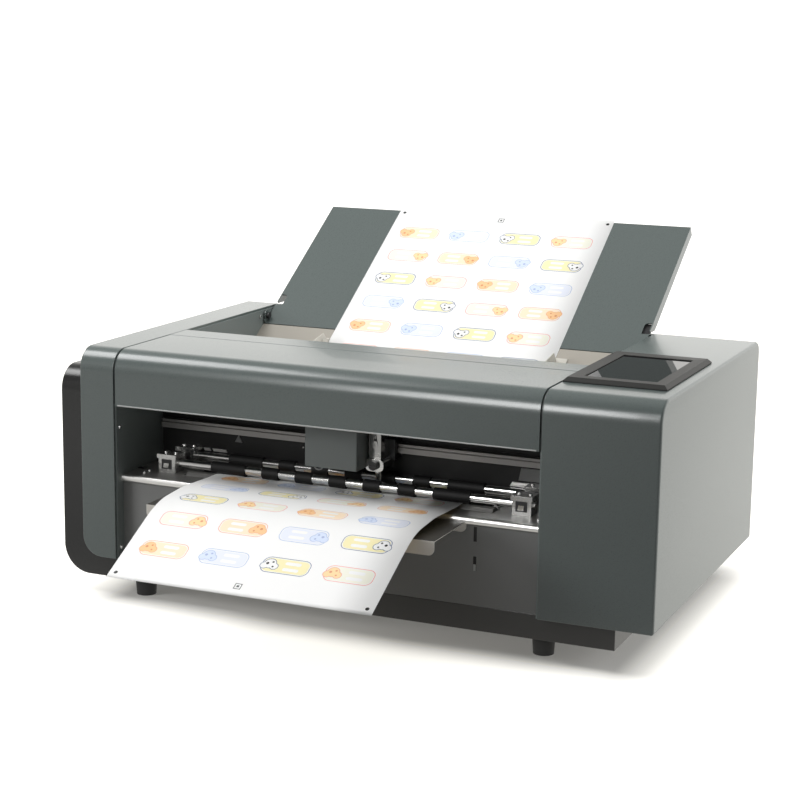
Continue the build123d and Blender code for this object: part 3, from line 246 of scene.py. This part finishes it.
shape = skin.nodes.new("ShaderNodeTexCoord")
drawn = skin.nodes.new("ShaderNodeCombineXYZ")
feed(drawn.inputs["X"], given.outputs["Stretch"])
feed(drawn.inputs["Y"], 1)
feed(drawn.inputs["Z"], 1)
squeezed = skin.nodes.new("ShaderNodeVectorMath")
squeezed.operation = "MULTIPLY"
feed(squeezed.inputs[0], shape.outputs["Object"])
feed(squeezed.inputs[1], drawn.outputs[0])
fine = noise(squeezed.outputs[0], given.outputs["Grain"], 3)
broad = noise(shape.outputs["Object"], 5.0, 4)
clouds = calc("MULTIPLY", broad, given.outputs["Clouding"])
feed(put.inputs["Color"], over(given.outputs["Main"], given.outputs["Shade"], clouds))
uneven = calc("MULTIPLY_ADD", fine, given.outputs["Unevenness"], given.outputs["Roughness"])
feed(put.inputs["Roughness"], uneven)
feed(put.inputs["Height"], fine)


def relief(shader, height, depth, reach):
    """Makes a height the fine relief of a shader's surface."""
    bump = shader.id_data.nodes.new("ShaderNodeBump")
    for label, value in (("Height", height), ("Strength", depth), ("Distance", reach)):
        feed(bump.inputs[label], value)
    feed(shader.inputs["Normal"], bump.outputs["Normal"])


def finish(name, main, shade, rough, metallic=0.0, grain=900.0, clouding=0.3, uneven=0.05, depth=0.05,
           stretch=1.0, coat=0.0, specular=0.5):
    """Material of one real finish: two tones, a roughness that varies and a fine relief."""
    made = bpy.data.materials.new(name)
    made.use_nodes = True
    shader = made.node_tree.nodes["Principled BSDF"]
    worked = made.node_tree.nodes.new("ShaderNodeGroup")
    worked.node_tree = skin
    for label, value in (("Main", main), ("Shade", shade), ("Grain", grain), ("Clouding", clouding),
                         ("Roughness", rough - uneven / 2), ("Unevenness", uneven), ("Stretch", stretch)):
        feed(worked.inputs[label], value)
    feed(shader.inputs["Base Color"], worked.outputs["Color"])
    feed(shader.inputs["Roughness"], worked.outputs["Roughness"])
    for label, number in (("Metallic", metallic), ("Coat Weight", coat), ("Specular IOR Level", specular)):
        feed(shader.inputs[label], number)
    relief(shader, worked.outputs["Height"], depth, 0.0005)
    return made


def smooth(mesh, sharpest):
    """Smooth shading, apart from the edges that turn by more than an angle in degrees."""
    mesh.set_sharp_from_angle(angle=math.radians(sharpest))
    mesh.polygons.foreach_set("use_smooth", [True] * len(mesh.polygons))


def pressed(node, material, edge, body="frame"):
    """Stands for a folded, cast or moulded node, with its edges rounded as the real ones are."""
    form = bmesh.new()
    form.from_mesh(nodes[node].data)
    bmesh.ops.remove_doubles(form, verts=form.verts, dist=1e-5)
    bmesh.ops.dissolve_limit(form, angle_limit=math.radians(0.6), verts=form.verts, edges=form.edges)
    piece = piece_of(node + "_shape", form, material)
    smooth(piece.data, 32)
    rounding = piece.modifiers.new("rounded_edges", "BEVEL")
    rounding.width = edge
    rounding.segments = 2
    rounding.limit_method = "ANGLE"
    rounding.angle_limit = math.radians(50)
    rounding.harden_normals = True
    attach(piece, body)
    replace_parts(piece, node)


def dress(material, *names):
    """Gives a finish to nodes that keep their own shape."""
    for name in names:
        slots = nodes[name].data.materials
        slots.clear()
        slots.append(material)


base_black = finish("base_black", (0.05, 0.049, 0.046), (0.042, 0.041, 0.038), 0.36, grain=1800, depth=0.1)
pressed("base_pan", base_black, 0.0008)
foot_rubber = finish("foot_rubber", (0.012, 0.012, 0.012), (0.02, 0.02, 0.02), 0.75, grain=700, depth=0.2)
dress(foot_rubber, "feet")

# Side plates: steel sheet in dark grey paint with a trace of green. They stand on the base pan at
# both ends of the bay and hold the table, the beam and the rollers.
wall_grey = finish("wall_grey", (0.19, 0.217, 0.212), (0.16, 0.183, 0.178), 0.42, grain=1500, depth=0.05)
dress(wall_grey, "left_side_plate", "right_side_plate")

# Table: satin steel sheet that the leaving sheet slides over, with a rolled nosing of bright sheet
# hooked over its front edge, and a soft black strip under the blade.
table_satin = finish("table_satin", (0.27, 0.265, 0.255), (0.22, 0.215, 0.21), 0.42, metallic=0.5,
                     grain=600, uneven=0.06, depth=0.03)
dress(table_satin, "table")
sleeve_rubber = finish("sleeve_rubber", (0.006, 0.006, 0.006), (0.009, 0.009, 0.009), 0.62, grain=1200,
                       depth=0.2, specular=0.3)
dress(sleeve_rubber, "cutting_strip")


def extruded(name, material, section, x0, x1, body):
    """Bar of one section, given as y and z pairs, between two x values."""
    form = bmesh.new()
    ring = [form.verts.new((x0, y, z)) for y, z in section]
    made = bmesh.ops.extrude_face_region(form, geom=[form.faces.new(ring)])
    bmesh.ops.translate(form, vec=(x1 - x0, 0, 0),
                        verts=[part for part in made["geom"] if isinstance(part, bmesh.types.BMVert)])
    bmesh.ops.recalc_face_normals(form, faces=form.faces)
    piece = piece_of(name, form, material)
    smooth(piece.data, 35)
    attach(piece, body)
    return piece


rolled_steel = finish("rolled_steel", (0.82, 0.81, 0.79), (0.72, 0.71, 0.69), 0.34, metallic=1.0, grain=700,
                      uneven=0.06, depth=0.02, stretch=0.05)
low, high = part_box("table_edge")
nose_long = 0.0035
nose_radius = 0.004
half_turn = [math.radians(turn) for turn in range(90, 271, 15)]
nosing = [(high.y + nose_long * math.cos(turn), high.z - nose_radius + nose_radius * math.sin(turn))
          for turn in half_turn]
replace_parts(extruded("table_edge_shape", rolled_steel, nosing, low.x, high.x, "frame"), "table_edge")

# Drive and pinch rollers: satin steel rollers under the table, and over them bright turned shafts
# with ground rubber sleeves. A toothed belt drives them, and they turn in black plastic bushes.
dress(table_satin, "front_drive_roller", "rear_drive_roller")
bright_steel = finish("bright_steel", (0.78, 0.78, 0.77), (0.66, 0.66, 0.66), 0.16, metallic=1.0,
                      grain=700, uneven=0.08, depth=0.02, stretch=0.05)
dress(bright_steel, "front_pinch_shaft", "rear_pinch_shaft")
dress(sleeve_rubber, "front_pinch_sleeves", "rear_pinch_sleeves", "feed_belt")
moulded_black = finish("moulded_black", (0.026, 0.026, 0.027), (0.036, 0.036, 0.037), 0.45, grain=2000,
                       depth=0.1)
dress(moulded_black, "roller_bushes")
cast_grey = finish("cast_grey", (0.42, 0.43, 0.43), (0.36, 0.37, 0.37), 0.35, metallic=0.9, grain=800,
                   depth=0.05)
dress(cast_grey, "feed_motor_pulley")

# Shaft brackets: four blocks cast in bright alloy with a rough, sparkling skin, screwed to the table. Large
# dark clouds in their colour are painted reflections, and each has a black patch in front, a painted dark
# reflection, where the end of its chromed bush shows.
# The dark second tone, clouded in fully, is painted reflection on the bright alloy.
casting_with_painted_reflections = finish("casting_with_painted_reflections", (0.92, 0.92, 0.90), (0.14, 0.14, 0.14), 0.18, metallic=0.8,
                        grain=330, clouding=1.0, uneven=0.2, depth=1.0, coat=0.4)
pressed("pinch_brackets", casting_with_painted_reflections, 0.0009)
chrome = finish("chrome", (0.42, 0.42, 0.41), (0.30, 0.30, 0.29), 0.12, metallic=1.0, grain=260, uneven=0.1,
                depth=0.35)


def fitting(name, material, low, high, body="frame", slant=0.0):
    """Small block between two corners; slant moves its top along x."""
    form = bmesh.new()
    bmesh.ops.create_cube(form, size=1)
    for corner in form.verts:
        share = corner.co + Vector((0.5, 0.5, 0.5))
        corner.co = [a + (b - a) * t for a, b, t in zip(low, high, share)]
        corner.co.x += slant * share.z
    piece = piece_of(name, form, material)
    rounding = piece.modifiers.new("rounded_edges", "BEVEL")
    rounding.width = 0.0002
    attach(piece, body)


low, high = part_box("pinch_brackets")
foot_margin = 0.0015
block_wide = 0.022
block_deep = 0.020
reflection_patch = [Vector((0.004, -0.0003, 0.0045)), Vector((0.0175, 0.001, 0.0160))]
bush = [Vector((0.0065, -0.0014, 0.0060)), Vector((0.0135, 0, 0.0120))]
for x in (low.x + foot_margin, high.x - foot_margin - block_wide):
    for y in (low.y + foot_margin, high.y - foot_margin - block_deep):
        front = Vector((x, y, low.z))
        # A black patch on each bracket's front is painted dark reflection.
        fitting("bracket_painted_reflection", moulded_black, *[front + corner for corner in reflection_patch])
        fitting("bracket_bush", chrome, *[front + corner for corner in bush], slant=0.001)

# Front panel: steel sheet in dark grey paint under the table. It has two upright slots near each end, one
# over the other; a thin black plate over each is painted shade of the slot's dark inside. A light grey
# tongue shows in each lower one.
plate_grey = finish("plate_grey", (0.225, 0.227, 0.223), (0.19, 0.192, 0.189), 0.42, grain=1500, depth=0.05)
dress(plate_grey, "front_panel")
# Pale grey: the slot tongues' own colour, and a painted highlight on the front cover's hem.
tongue_grey_and_hem_highlight = finish("tongue_grey_and_hem_highlight", (0.42, 0.43, 0.42), (0.36, 0.37, 0.36), 0.4, grain=1400, depth=0.04)
panel_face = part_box("front_panel")[0].y
bay_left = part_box("beam")[0].x
bay_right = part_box("beam")[1].x
slot_inset = 0.0755
slot_half = 0.0018
slot_tall = 0.0164
tongue_half = 0.0015
tongue_foot = 0.0880
tongue_top = 0.0955
for x in (bay_left + slot_inset, bay_right - slot_inset):
    for foot in (0.0878, 0.1208):
        # Thin black plates over the slots: painted shade of their dark inside.
        fitting("slot_shade", sleeve_rubber, (x - slot_half, panel_face - 0.0002, foot),
                (x + slot_half, panel_face + 0.0003, foot + slot_tall))
    fitting("slot_tongue", tongue_grey_and_hem_highlight, (x - tongue_half, panel_face - 0.0004, tongue_foot),
            (x + tongue_half, panel_face, tongue_top))

# Output tray: folded sheet of bare pale metal fixed to the front panel. Its upward faces are painted dark
# grey, as painted shade and painted reflection of the dark bay over them; the lips that face down and
# forward keep the pale metal.
tray_metal = finish("tray_metal", (0.72, 0.69, 0.64), (0.64, 0.61, 0.57), 0.4, grain=1500, depth=0.05)
tree = tray_metal.node_tree
shape = tree.nodes.new("ShaderNodeTexCoord")
facing = tree.nodes.new("ShaderNodeSeparateXYZ")
feed(facing.inputs[0], shape.outputs["Normal"])
# Faces that point up get a dark grey: painted shade and painted reflection.
top_painted_shade = calc("GREATER_THAN", facing.outputs["Z"], 0.45)
bare = tree.nodes["Principled BSDF"].inputs["Base Color"].links[0].from_socket
feed(tree.nodes["Principled BSDF"].inputs["Base Color"], over(bare, (0.055, 0.053, 0.048), top_painted_shade))
pressed("output_tray", tray_metal, 0.0006)

# Cross beam: square steel tube in satin black paint between the side plates. Small clips, an end
# plate, a dot and a pointer of bent sheet are fixed to its front.
beam_black = finish("beam_black", (0.014, 0.014, 0.014), (0.01, 0.01, 0.01), 0.45, grain=1500, depth=0.06,
                    specular=0.3)
dress(beam_black, "beam")
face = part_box("beam")[0].y
for name, material, end, start, stop, front, back, foot, top, slant in (
        ("beam_end_plate", plate_grey, bay_right, -0.060, 0.000, 0.002, 0.000, 0.1705, 0.1850, 0.003),
        ("beam_bright_clip", rolled_steel, bay_right, -0.070, -0.046, 0.003, 0.001, 0.1632, 0.1682, 0.003),
        ("beam_clip", rolled_steel, bay_left, 0.046, 0.052, 0.002, 0.000, 0.1635, 0.1668, -0.002),
        ("beam_clip", rolled_steel, bay_left, 0.058, 0.066, 0.002, 0.000, 0.1635, 0.1668, -0.002),
        ("beam_clip", rolled_steel, bay_left, 0.070, 0.088, 0.002, 0.000, 0.1635, 0.1668, -0.002),
        ("beam_dot", rolled_steel, bay_left, 0.187, 0.1885, 0.001, 0.000, 0.1795, 0.1810, 0.000)):
    fitting(name, material, (end + start, face - front, foot), (end + stop, face - back, top), slant=slant)
pointer_thick = 0.001
pointer_radius = 0.0058
pointer_place = Matrix.Translation((bay_left + 0.103, face - pointer_thick / 2, 0.1805))
pointer = bmesh.new()
bmesh.ops.create_cone(pointer, cap_ends=True, segments=3, radius1=pointer_radius, radius2=pointer_radius,
                      depth=pointer_thick, matrix=pointer_place @ Matrix.Rotation(math.radians(90), 4, "X"))
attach(piece_of("beam_pointer", pointer, plate_grey), "frame")

# Linear rail: bar of ground steel screwed to the beam. The balls of the carriage's block run in a
# groove along its front.
rail_steel = finish("rail_steel", (0.30, 0.29, 0.28), (0.24, 0.23, 0.22), 0.4, metallic=0.55, grain=900,
                    uneven=0.1, depth=0.03, stretch=0.05)
low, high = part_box("rail")
rise = high.z - low.z
groove = low.y + 0.0025
bar = [(low.y, low.z), (low.y, low.z + 0.60 * rise), (groove, low.z + 0.64 * rise),
       (groove, low.z + 0.86 * rise), (low.y, low.z + 0.9 * rise), (low.y, high.z),
       (high.y, high.z), (high.y, low.z)]
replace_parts(extruded("rail_shape", rail_steel, bar, low.x, high.x, "frame"), "rail")

# Carriage: a dark machined block that runs on the rail and is pulled by a toothed belt, under a cover
# box of grey paint. A thin wire loops down below the left end of the box.
carriage_dark = finish("carriage_dark", (0.03, 0.031, 0.032), (0.04, 0.041, 0.042), 0.3, metallic=0.6,
                       grain=800, depth=0.05)
pressed("carriage_block", carriage_dark, 0.0005, "carriage")
box_grey = finish("box_grey", (0.13, 0.145, 0.142), (0.115, 0.128, 0.125), 0.4, grain=1600, depth=0.05)
pressed("carriage_cover", box_grey, 0.0006, "carriage")
dress(sleeve_rubber, "carriage_belt")
dress(cast_grey, "carriage_motor_pulley", "idler_pulley")
box_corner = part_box("carriage_cover")[0]
loop_middle = box_corner + Vector((0.012, 0.012, 0.0005))
loop_radius = 0.006
loop_start = 200
loop_sweep = 140
loop_steps = 8
wire_radius = 0.0007
wire = bmesh.new()
for step in range(loop_steps + 1):
    turn = math.radians(loop_start + loop_sweep * step / loop_steps)
    wire.verts.new(loop_middle + loop_radius * Vector((math.cos(turn), 0, math.sin(turn))))
wire.verts.ensure_lookup_table()
for a, b in zip(wire.verts, wire.verts[1:]):
    wire.edges.new((a, b))
carriage_wire = piece_of("carriage_wire", wire, plate_grey)
carriage_wire.modifiers.new("thickness", "SKIN")
for point in carriage_wire.data.skin_vertices[0].data:
    point.radius = (wire_radius, wire_radius)
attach(carriage_wire, "carriage")

# Tool: a chromed slide that the solenoid moves down, with a clamp and a black knob that hold the blade
# holder of bright steel. A small black patch on the slide is painted shade of a hole in it, and a bright
# strip guides the slide.
pressed("tool_slide", chrome, 0.003, "tool")
pressed("tool_clamp", chrome, 0.001, "tool")
dress(moulded_black, "clamp_knob")
dress(bright_steel, "blade_holder")
ground_steel = finish("ground_steel", (0.56, 0.56, 0.56), (0.46, 0.46, 0.46), 0.28, metallic=1.0,
                      grain=900, uneven=0.1, depth=0.03, stretch=0.05)
dress(ground_steel, "lift_solenoid")
slide_low, slide_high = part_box("tool_slide")
middle = (slide_low.x + slide_high.x) / 2
eye_half = 0.0016
eye_foot = 0.2072
eye_top = 0.2104
# Black patch on the slide: painted shade of its hole.
fitting("tool_hole_shade", moulded_black, (middle - eye_half, slide_low.y - 0.0003, eye_foot),
        (middle + eye_half, slide_low.y + 0.001, eye_top), "tool")
guide_foot = 0.190
guide_top = 0.214
fitting("tool_guide", rolled_steel, (slide_low.x - 0.0026, slide_low.y + 0.004, guide_foot),
        (slide_low.x - 0.0018, slide_high.y, guide_top), "carriage")

# Feed bed: steel sheet in beige paint, with the pickup shaft of ground steel and its grey rubber
# tyres under it, which a brass pinion drives.
bed_beige = finish("bed_beige", (0.36, 0.335, 0.29), (0.31, 0.29, 0.25), 0.45, grain=1300, depth=0.05)
dress(bed_beige, "feed_bed")
dress(ground_steel, "pickup_shaft")
tyre_rubber = finish("tyre_rubber", (0.06, 0.06, 0.062), (0.045, 0.045, 0.046), 0.7, grain=900, depth=0.25)
dress(tyre_rubber, "pickup_tyres")
brass = finish("brass", (0.6, 0.42, 0.18), (0.5, 0.34, 0.15), 0.3, metallic=1.0, grain=700, depth=0.03)
dress(brass, "pickup_pinion")

# Paper guides: moulded in cream plastic, with racks that a pinion joins. Each has a tall wing that
# stands outside its fence and follows the tray's slope down from the pivot.
guide_cream = finish("guide_cream", (0.60, 0.58, 0.52), (0.54, 0.52, 0.47), 0.45, grain=1500, depth=0.05)
dress(guide_cream, "left_paper_guide", "right_paper_guide", "guide_pinion")
tilt = math.radians(33)
pivot_y = 0.17167
pivot_z = 0.275
wing = [(pivot_y + run * math.cos(tilt) - up * math.sin(tilt),
         pivot_z + run * math.sin(tilt) + up * math.cos(tilt))
        for run, up in ((-0.024, 0.001), (-0.026, 0.0155), (-0.062, 0.031), (-0.062, 0.001))]
wing_near = 0.0020
wing_far = 0.0030
sheet_low, sheet_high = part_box("tray_sheet")
extruded("left_guide_wing", guide_cream, wing,
         sheet_low.x - wing_far, sheet_low.x - wing_near, "left_guide")
extruded("right_guide_wing", guide_cream, wing,
         sheet_high.x + wing_near, sheet_high.x + wing_far, "right_guide")

# Covers: folded sheet steel in grey powder paint with a trace of green, satin, with the fine uneven
# skin that such paint has. The front one swings on two pins of ground steel.
cover_grey = finish("cover_grey", (0.098, 0.120, 0.115), (0.088, 0.108, 0.103), 0.28, grain=1400,
                    depth=0.04, coat=0.15, specular=0.75)
for name in ("left_cover", "right_cover", "rear_panel", "top_bridge"):
    pressed(name, cover_grey, 0.001)
pressed("front_cover", cover_grey, 0.001, "front_cover")
dress(ground_steel, "cover_hinge_pins")
dress(bright_steel, "panel_screws")

# Hem: the front cover's lower edge is folded back on itself into a thin round bead, coloured pale grey as a
# painted highlight along the edge.
low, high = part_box("front_cover")
hem_radius = 0.0009
hem_y = low.y + 0.0002
hem_z = low.z + 0.0007
full_turn = [math.radians(turn) for turn in range(0, 360, 30)]
hem = [(hem_y + hem_radius * math.cos(turn), hem_z + hem_radius * math.sin(turn)) for turn in full_turn]
hem_inset = 0.003
# Pale grey bead: painted highlight on the cover's lower edge.
extruded("cover_hem", tongue_grey_and_hem_highlight, hem, low.x + hem_inset, high.x - hem_inset, "front_cover")

# Left housing: moulded black plastic with a fine spark-eroded grain. It stands behind and below the
# grey left cover as a rim with large round corners.
housing_black = finish("housing_black", (0.009, 0.009, 0.009), (0.013, 0.013, 0.013), 0.26, grain=2200,
                       depth=0.04, specular=0.6)
pressed("left_side_housing", housing_black, 0.0008)

# Paper tray: folded sheet in the covers' paint that is also the lid of the feed opening. It turns on two
# black plastic pivots. A black plate behind its right notch is painted shade, the dark inside of the flange
# seen through the notch.
pressed("paper_tray", cover_grey, 0.0005, "paper_tray")
dress(moulded_black, "tray_pivots")
tray_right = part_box("paper_tray")[1].x
# Black plate behind the right notch: painted shade.
notch_shade_size = (0.012, 0.024, 0.003, 1)
notch_shade_place = Matrix.Translation((tray_right - 0.007, 0.2144, 0.2970))
stop = bmesh.new()
bmesh.ops.create_cube(stop, size=1,
                      matrix=notch_shade_place @ Matrix.Rotation(tilt, 4, "X") @ Matrix.Diagonal(notch_shade_size))
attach(piece_of("tray_notch_shade", stop, moulded_black), "paper_tray")

# Screen: a black chamfered bezel of moulded plastic set on the right cover's top, with dark glass
# in it.
bezel_black = finish("bezel_black", (0.034, 0.034, 0.032), (0.028, 0.028, 0.026), 0.5, grain=1800,
                     depth=0.06, specular=0.25)
pressed("display_bezel", bezel_black, 0.0005)
screen_glass = finish("screen_glass", (0.006, 0.006, 0.007), (0.009, 0.009, 0.01), 0.02, grain=100,
                      uneven=0.01, depth=0.0, specular=0.2)
dress(screen_glass, "display_glass")

# Power and control: motors, fan, sockets and rocker switch in black, the supply in its grey metal
# case, and a green circuit board, all screwed inside the covers.
dress(moulded_black, "drive_motors", "fan_frame", "fan_rotor", "rear_sockets", "power_rocker")
dress(cast_grey, "power_supply")
board_green = finish("board_green", (0.02, 0.12, 0.05), (0.03, 0.16, 0.07), 0.35, grain=400, depth=0.05)
dress(board_green, "control_board")

# Label stock: white sheets with rows of printed labels on a kraft backing. Each label has an outline,
# a pale ground with two writing fields and a freckled cloud; dots in the corners guide the cutter.
label_print = bpy.data.materials.new("label_print")
label_print.use_nodes = True
tree = label_print.node_tree
sheet_size = (0.305, 0.380)
sheet_wide, sheet_long = (1000 * size for size in sheet_size)
surface = tree.nodes.new("ShaderNodeTexCoord")
flat = tree.nodes.new("ShaderNodeSeparateXYZ")
feed(flat.inputs[0], surface.outputs["UV"])
across = calc("MULTIPLY", flat.outputs["X"], sheet_wide)
along = calc("MULTIPLY", flat.outputs["Y"], sheet_long)

# The labels stand in four columns and seven rows, all in millimetres, and every other row is turned.
columns, rows = 4, 7
step_x, step_y = 72.0, 47.5
margin_x, margin_y = 8.5, 26.0
column = calc("FLOOR", calc("DIVIDE", calc("SUBTRACT", across, margin_x), step_x))
row = calc("FLOOR", calc("DIVIDE", calc("SUBTRACT", along, margin_y), step_y))
from_middle_x = calc("ABSOLUTE", calc("SUBTRACT", column, (columns - 1) / 2))
from_middle_y = calc("ABSOLUTE", calc("SUBTRACT", row, (rows - 1) / 2))
inside = calc("MULTIPLY", calc("LESS_THAN", from_middle_x, columns / 2),
              calc("LESS_THAN", from_middle_y, rows / 2))
x = calc("SUBTRACT", calc("SUBTRACT", across, margin_x + step_x / 2), calc("MULTIPLY", column, step_x))
y = calc("SUBTRACT", calc("SUBTRACT", along, margin_y + step_y / 2), calc("MULTIPLY", row, step_y))
turned = calc("SUBTRACT", 1.0, calc("MULTIPLY", calc("MODULO", calc("ADD", row, 2.0), 2.0), 2.0))
x = calc("MULTIPLY", x, turned)

# Outlines of one label, each as a distance that is below 0 inside.
half_x, half_y, corner_radius = 27.0, 11.0, 8.0
pill = distance(beyond(x, half_x - corner_radius), beyond(y, half_y - corner_radius))
pill = calc("SUBTRACT", pill, corner_radius)
field_x, field_half_x, field_y, field_half_y = 7.0, 7.0, 4.4, 2.2
field = distance(beyond(calc("SUBTRACT", x, field_x), field_half_x),
                 calc("SUBTRACT", calc("ABSOLUTE", y), field_y))
field = calc("SUBTRACT", field, field_half_y)
cloud_x = calc("ADD", x, 18.5)


def nearest_of(*rounds):
    """Distance to the nearest of three rounds, each with its place in the cloud and its radius."""
    edges = []
    for dx, dy, radius in rounds:
        middle = distance(calc("SUBTRACT", cloud_x, dx), calc("SUBTRACT", y, dy))
        edges.append(calc("SUBTRACT", middle, radius))
    return calc("MINIMUM", calc("MINIMUM", edges[0], edges[1]), edges[2])


cloud = nearest_of((0.0, 1.5, 6.8), (5.6, -2.0, 4.6), (-5.6, -2.0, 4.6))
freckle = nearest_of((2.6, 4.0, 1.3), (-3.0, 1.4, 1.7), (4.4, -2.6, 1.2))

# Inks: four sets, so that a label differs from its neighbours.
kind = calc("MODULO", calc("ADD", calc("ADD", column, calc("MULTIPLY", row, 3.0)), 8.0), 4.0)
place = calc("ADD", calc("DIVIDE", kind, 4.0), 0.12)


def choice(colours):
    """The colour of a label's own set."""
    ramp = tree.nodes.new("ShaderNodeValToRGB")
    ramp.color_ramp.interpolation = "CONSTANT"
    while len(ramp.color_ramp.elements) < len(colours):
        ramp.color_ramp.elements.new(0.5)
    for index, colour in enumerate(colours):
        ramp.color_ramp.elements[index].position = index / len(colours)
        ramp.color_ramp.elements[index].color = (*colour, 1)
    feed(ramp.inputs[0], place)
    return ramp.outputs[0]


def printed(ground, colour, value, limit):
    """Colour on a label where the value is below the limit, and the ground elsewhere."""
    return over(ground, colour, calc("MULTIPLY", inside, calc("LESS_THAN", value, limit)))


outline_ink = choice([(0.80, 0.38, 0.22), (0.40, 0.50, 0.72), (0.10, 0.14, 0.26), (0.82, 0.35, 0.28)])
pale_ink = choice([(0.92, 0.75, 0.55), (0.76, 0.79, 0.87), (0.87, 0.80, 0.46), (0.85, 0.84, 0.73)])
cloud_ink = choice([(0.90, 0.56, 0.28), (0.64, 0.72, 0.88), (0.86, 0.86, 0.85), (0.92, 0.68, 0.36)])
freckle_ink = choice([(0.70, 0.28, 0.12), (0.36, 0.44, 0.66), (0.02, 0.02, 0.02), (0.76, 0.34, 0.18)])
page = (0.87, 0.87, 0.86)
pale_inset = 1.4
pill_line = 0.42
cloud_line = 0.38
ink = printed(page, pale_ink, pill, -pale_inset)
ink = printed(ink, page, field, 0.0)
ink = printed(ink, outline_ink, calc("ABSOLUTE", pill), pill_line)
ink = printed(ink, cloud_ink, cloud, 0.0)
ink = printed(ink, outline_ink, calc("ABSOLUTE", cloud), cloud_line)
ink = printed(ink, freckle_ink, freckle, 0.0)

# A dot in each corner, and a small framed square in the margin of the printed end.
dot_x, dot_y, dot_radius = sheet_wide / 2 - 7.5, sheet_long / 2 - 8.0, 2.2
off_middle_x = calc("ABSOLUTE", calc("SUBTRACT", across, sheet_wide / 2))
off_middle_y = calc("ABSOLUTE", calc("SUBTRACT", along, sheet_long / 2))
dots = distance(calc("SUBTRACT", off_middle_x, dot_x), calc("SUBTRACT", off_middle_y, dot_y))
ink = over(ink, (0.02, 0.02, 0.02), calc("LESS_THAN", dots, dot_radius))
mark_x, mark_y, mark_half, mark_line, mark_heart = 150.0, 13.0, 3.6, 0.5, 1.5
mark = calc("MAXIMUM", calc("ABSOLUTE", calc("SUBTRACT", across, mark_x)),
            calc("ABSOLUTE", calc("SUBTRACT", along, mark_y)))
ring = calc("ABSOLUTE", calc("SUBTRACT", mark, mark_half))
ink = over(ink, (0.1, 0.1, 0.1), calc("LESS_THAN", ring, mark_line))
ink = over(ink, (0.1, 0.1, 0.1), calc("LESS_THAN", mark, mark_heart))
shader = tree.nodes["Principled BSDF"]
feed(shader.inputs["Base Color"], ink)
feed(shader.inputs["Roughness"], 0.42)
relief(shader, noise(surface.outputs["Object"], 1100, 2), 0.05, 0.0003)
kraft_back = finish("kraft_back", (0.95, 0.76, 0.42), (0.90, 0.71, 0.38), 0.6, grain=1200, depth=0.1)

# Waiting sheet: it lies on the tray and the bed in one piece between the guides, straight along the tray's
# slope.


def label_sheet(name, body, place_row):
    """Sheet from its printed end to its other end; place_row gives y and z for a length along it."""
    form = bmesh.new()
    form.loops.layers.uv.new("UVMap")
    bmesh.ops.create_grid(form, x_segments=6, y_segments=76, size=0.5, calc_uvs=True)
    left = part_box("tray_sheet")[0].x
    for corner in form.verts:
        y, z = place_row((corner.co.y + 0.5) * sheet_size[1])
        corner.co = (left + (corner.co.x + 0.5) * sheet_size[0], y, z)
    bmesh.ops.recalc_face_normals(form, faces=form.faces)
    if sum(face.normal.z for face in form.faces) < 0:
        bmesh.ops.reverse_faces(form, faces=form.faces)
    piece = piece_of(name, form, label_print, kraft_back)
    piece.data.polygons.foreach_set("use_smooth", [True] * len(piece.data.polygons))
    stock = piece.modifiers.new("thickness", "SOLIDIFY")
    stock.thickness = 0.0004
    stock.offset = -1
    stock.material_offset = 1
    if body:
        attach(piece, body)
    return piece


def on_slope(length):
    """Point on the tray's slope, measured down from its upper end."""
    return sheet_high.y - length * math.cos(tilt), sheet_high.z - length * math.sin(tilt)


waiting = label_sheet("waiting_sheet", None, on_slope)
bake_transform(waiting)
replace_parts(waiting, "tray_sheet", "bed_sheet")

# Leaving sheet: held by the pinch rollers, it rises over the output tray and hangs over its edge.
# Its route runs from the tail to the free end, in y from the covers' front and in z.
route = [(0.175, 0.152), (0.034, 0.152), (-0.028, 0.1545), (-0.084, 0.1505), (-0.190, 0.0935)]
bend_radii = (0.12, 0.15, 0.11)
bend_steps = 12
front_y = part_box("left_cover")[0].y
route = [Vector((y + front_y, z)) for y, z in route]
line = [route[0]]
for before, corner, after, radius in zip(route, route[1:], route[2:], bend_radii):
    back, on = (before - corner).normalized(), (after - corner).normalized()
    reach = radius / math.tan(back.angle(on) / 2)
    for step in range(bend_steps + 1):
        t = step / bend_steps
        line.append((1 - t) ** 2 * (corner + reach * back) + 2 * t * (1 - t) * corner
                    + t ** 2 * (corner + reach * on))
line.append(route[-1])


def over_tray(length):
    """Point on the hanging line, measured from the sheet's free end."""
    points = line[::-1]
    for a, b in zip(points, points[1:]):
        run = (b - a).length
        if length <= run:
            return a + (b - a) * (length / run)
        length -= run
    return points[-1] + (points[-1] - points[-2]).normalized() * length


leaving = label_sheet("leaving_sheet", "frame", over_tray)
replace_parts(leaving, "output_sheet")
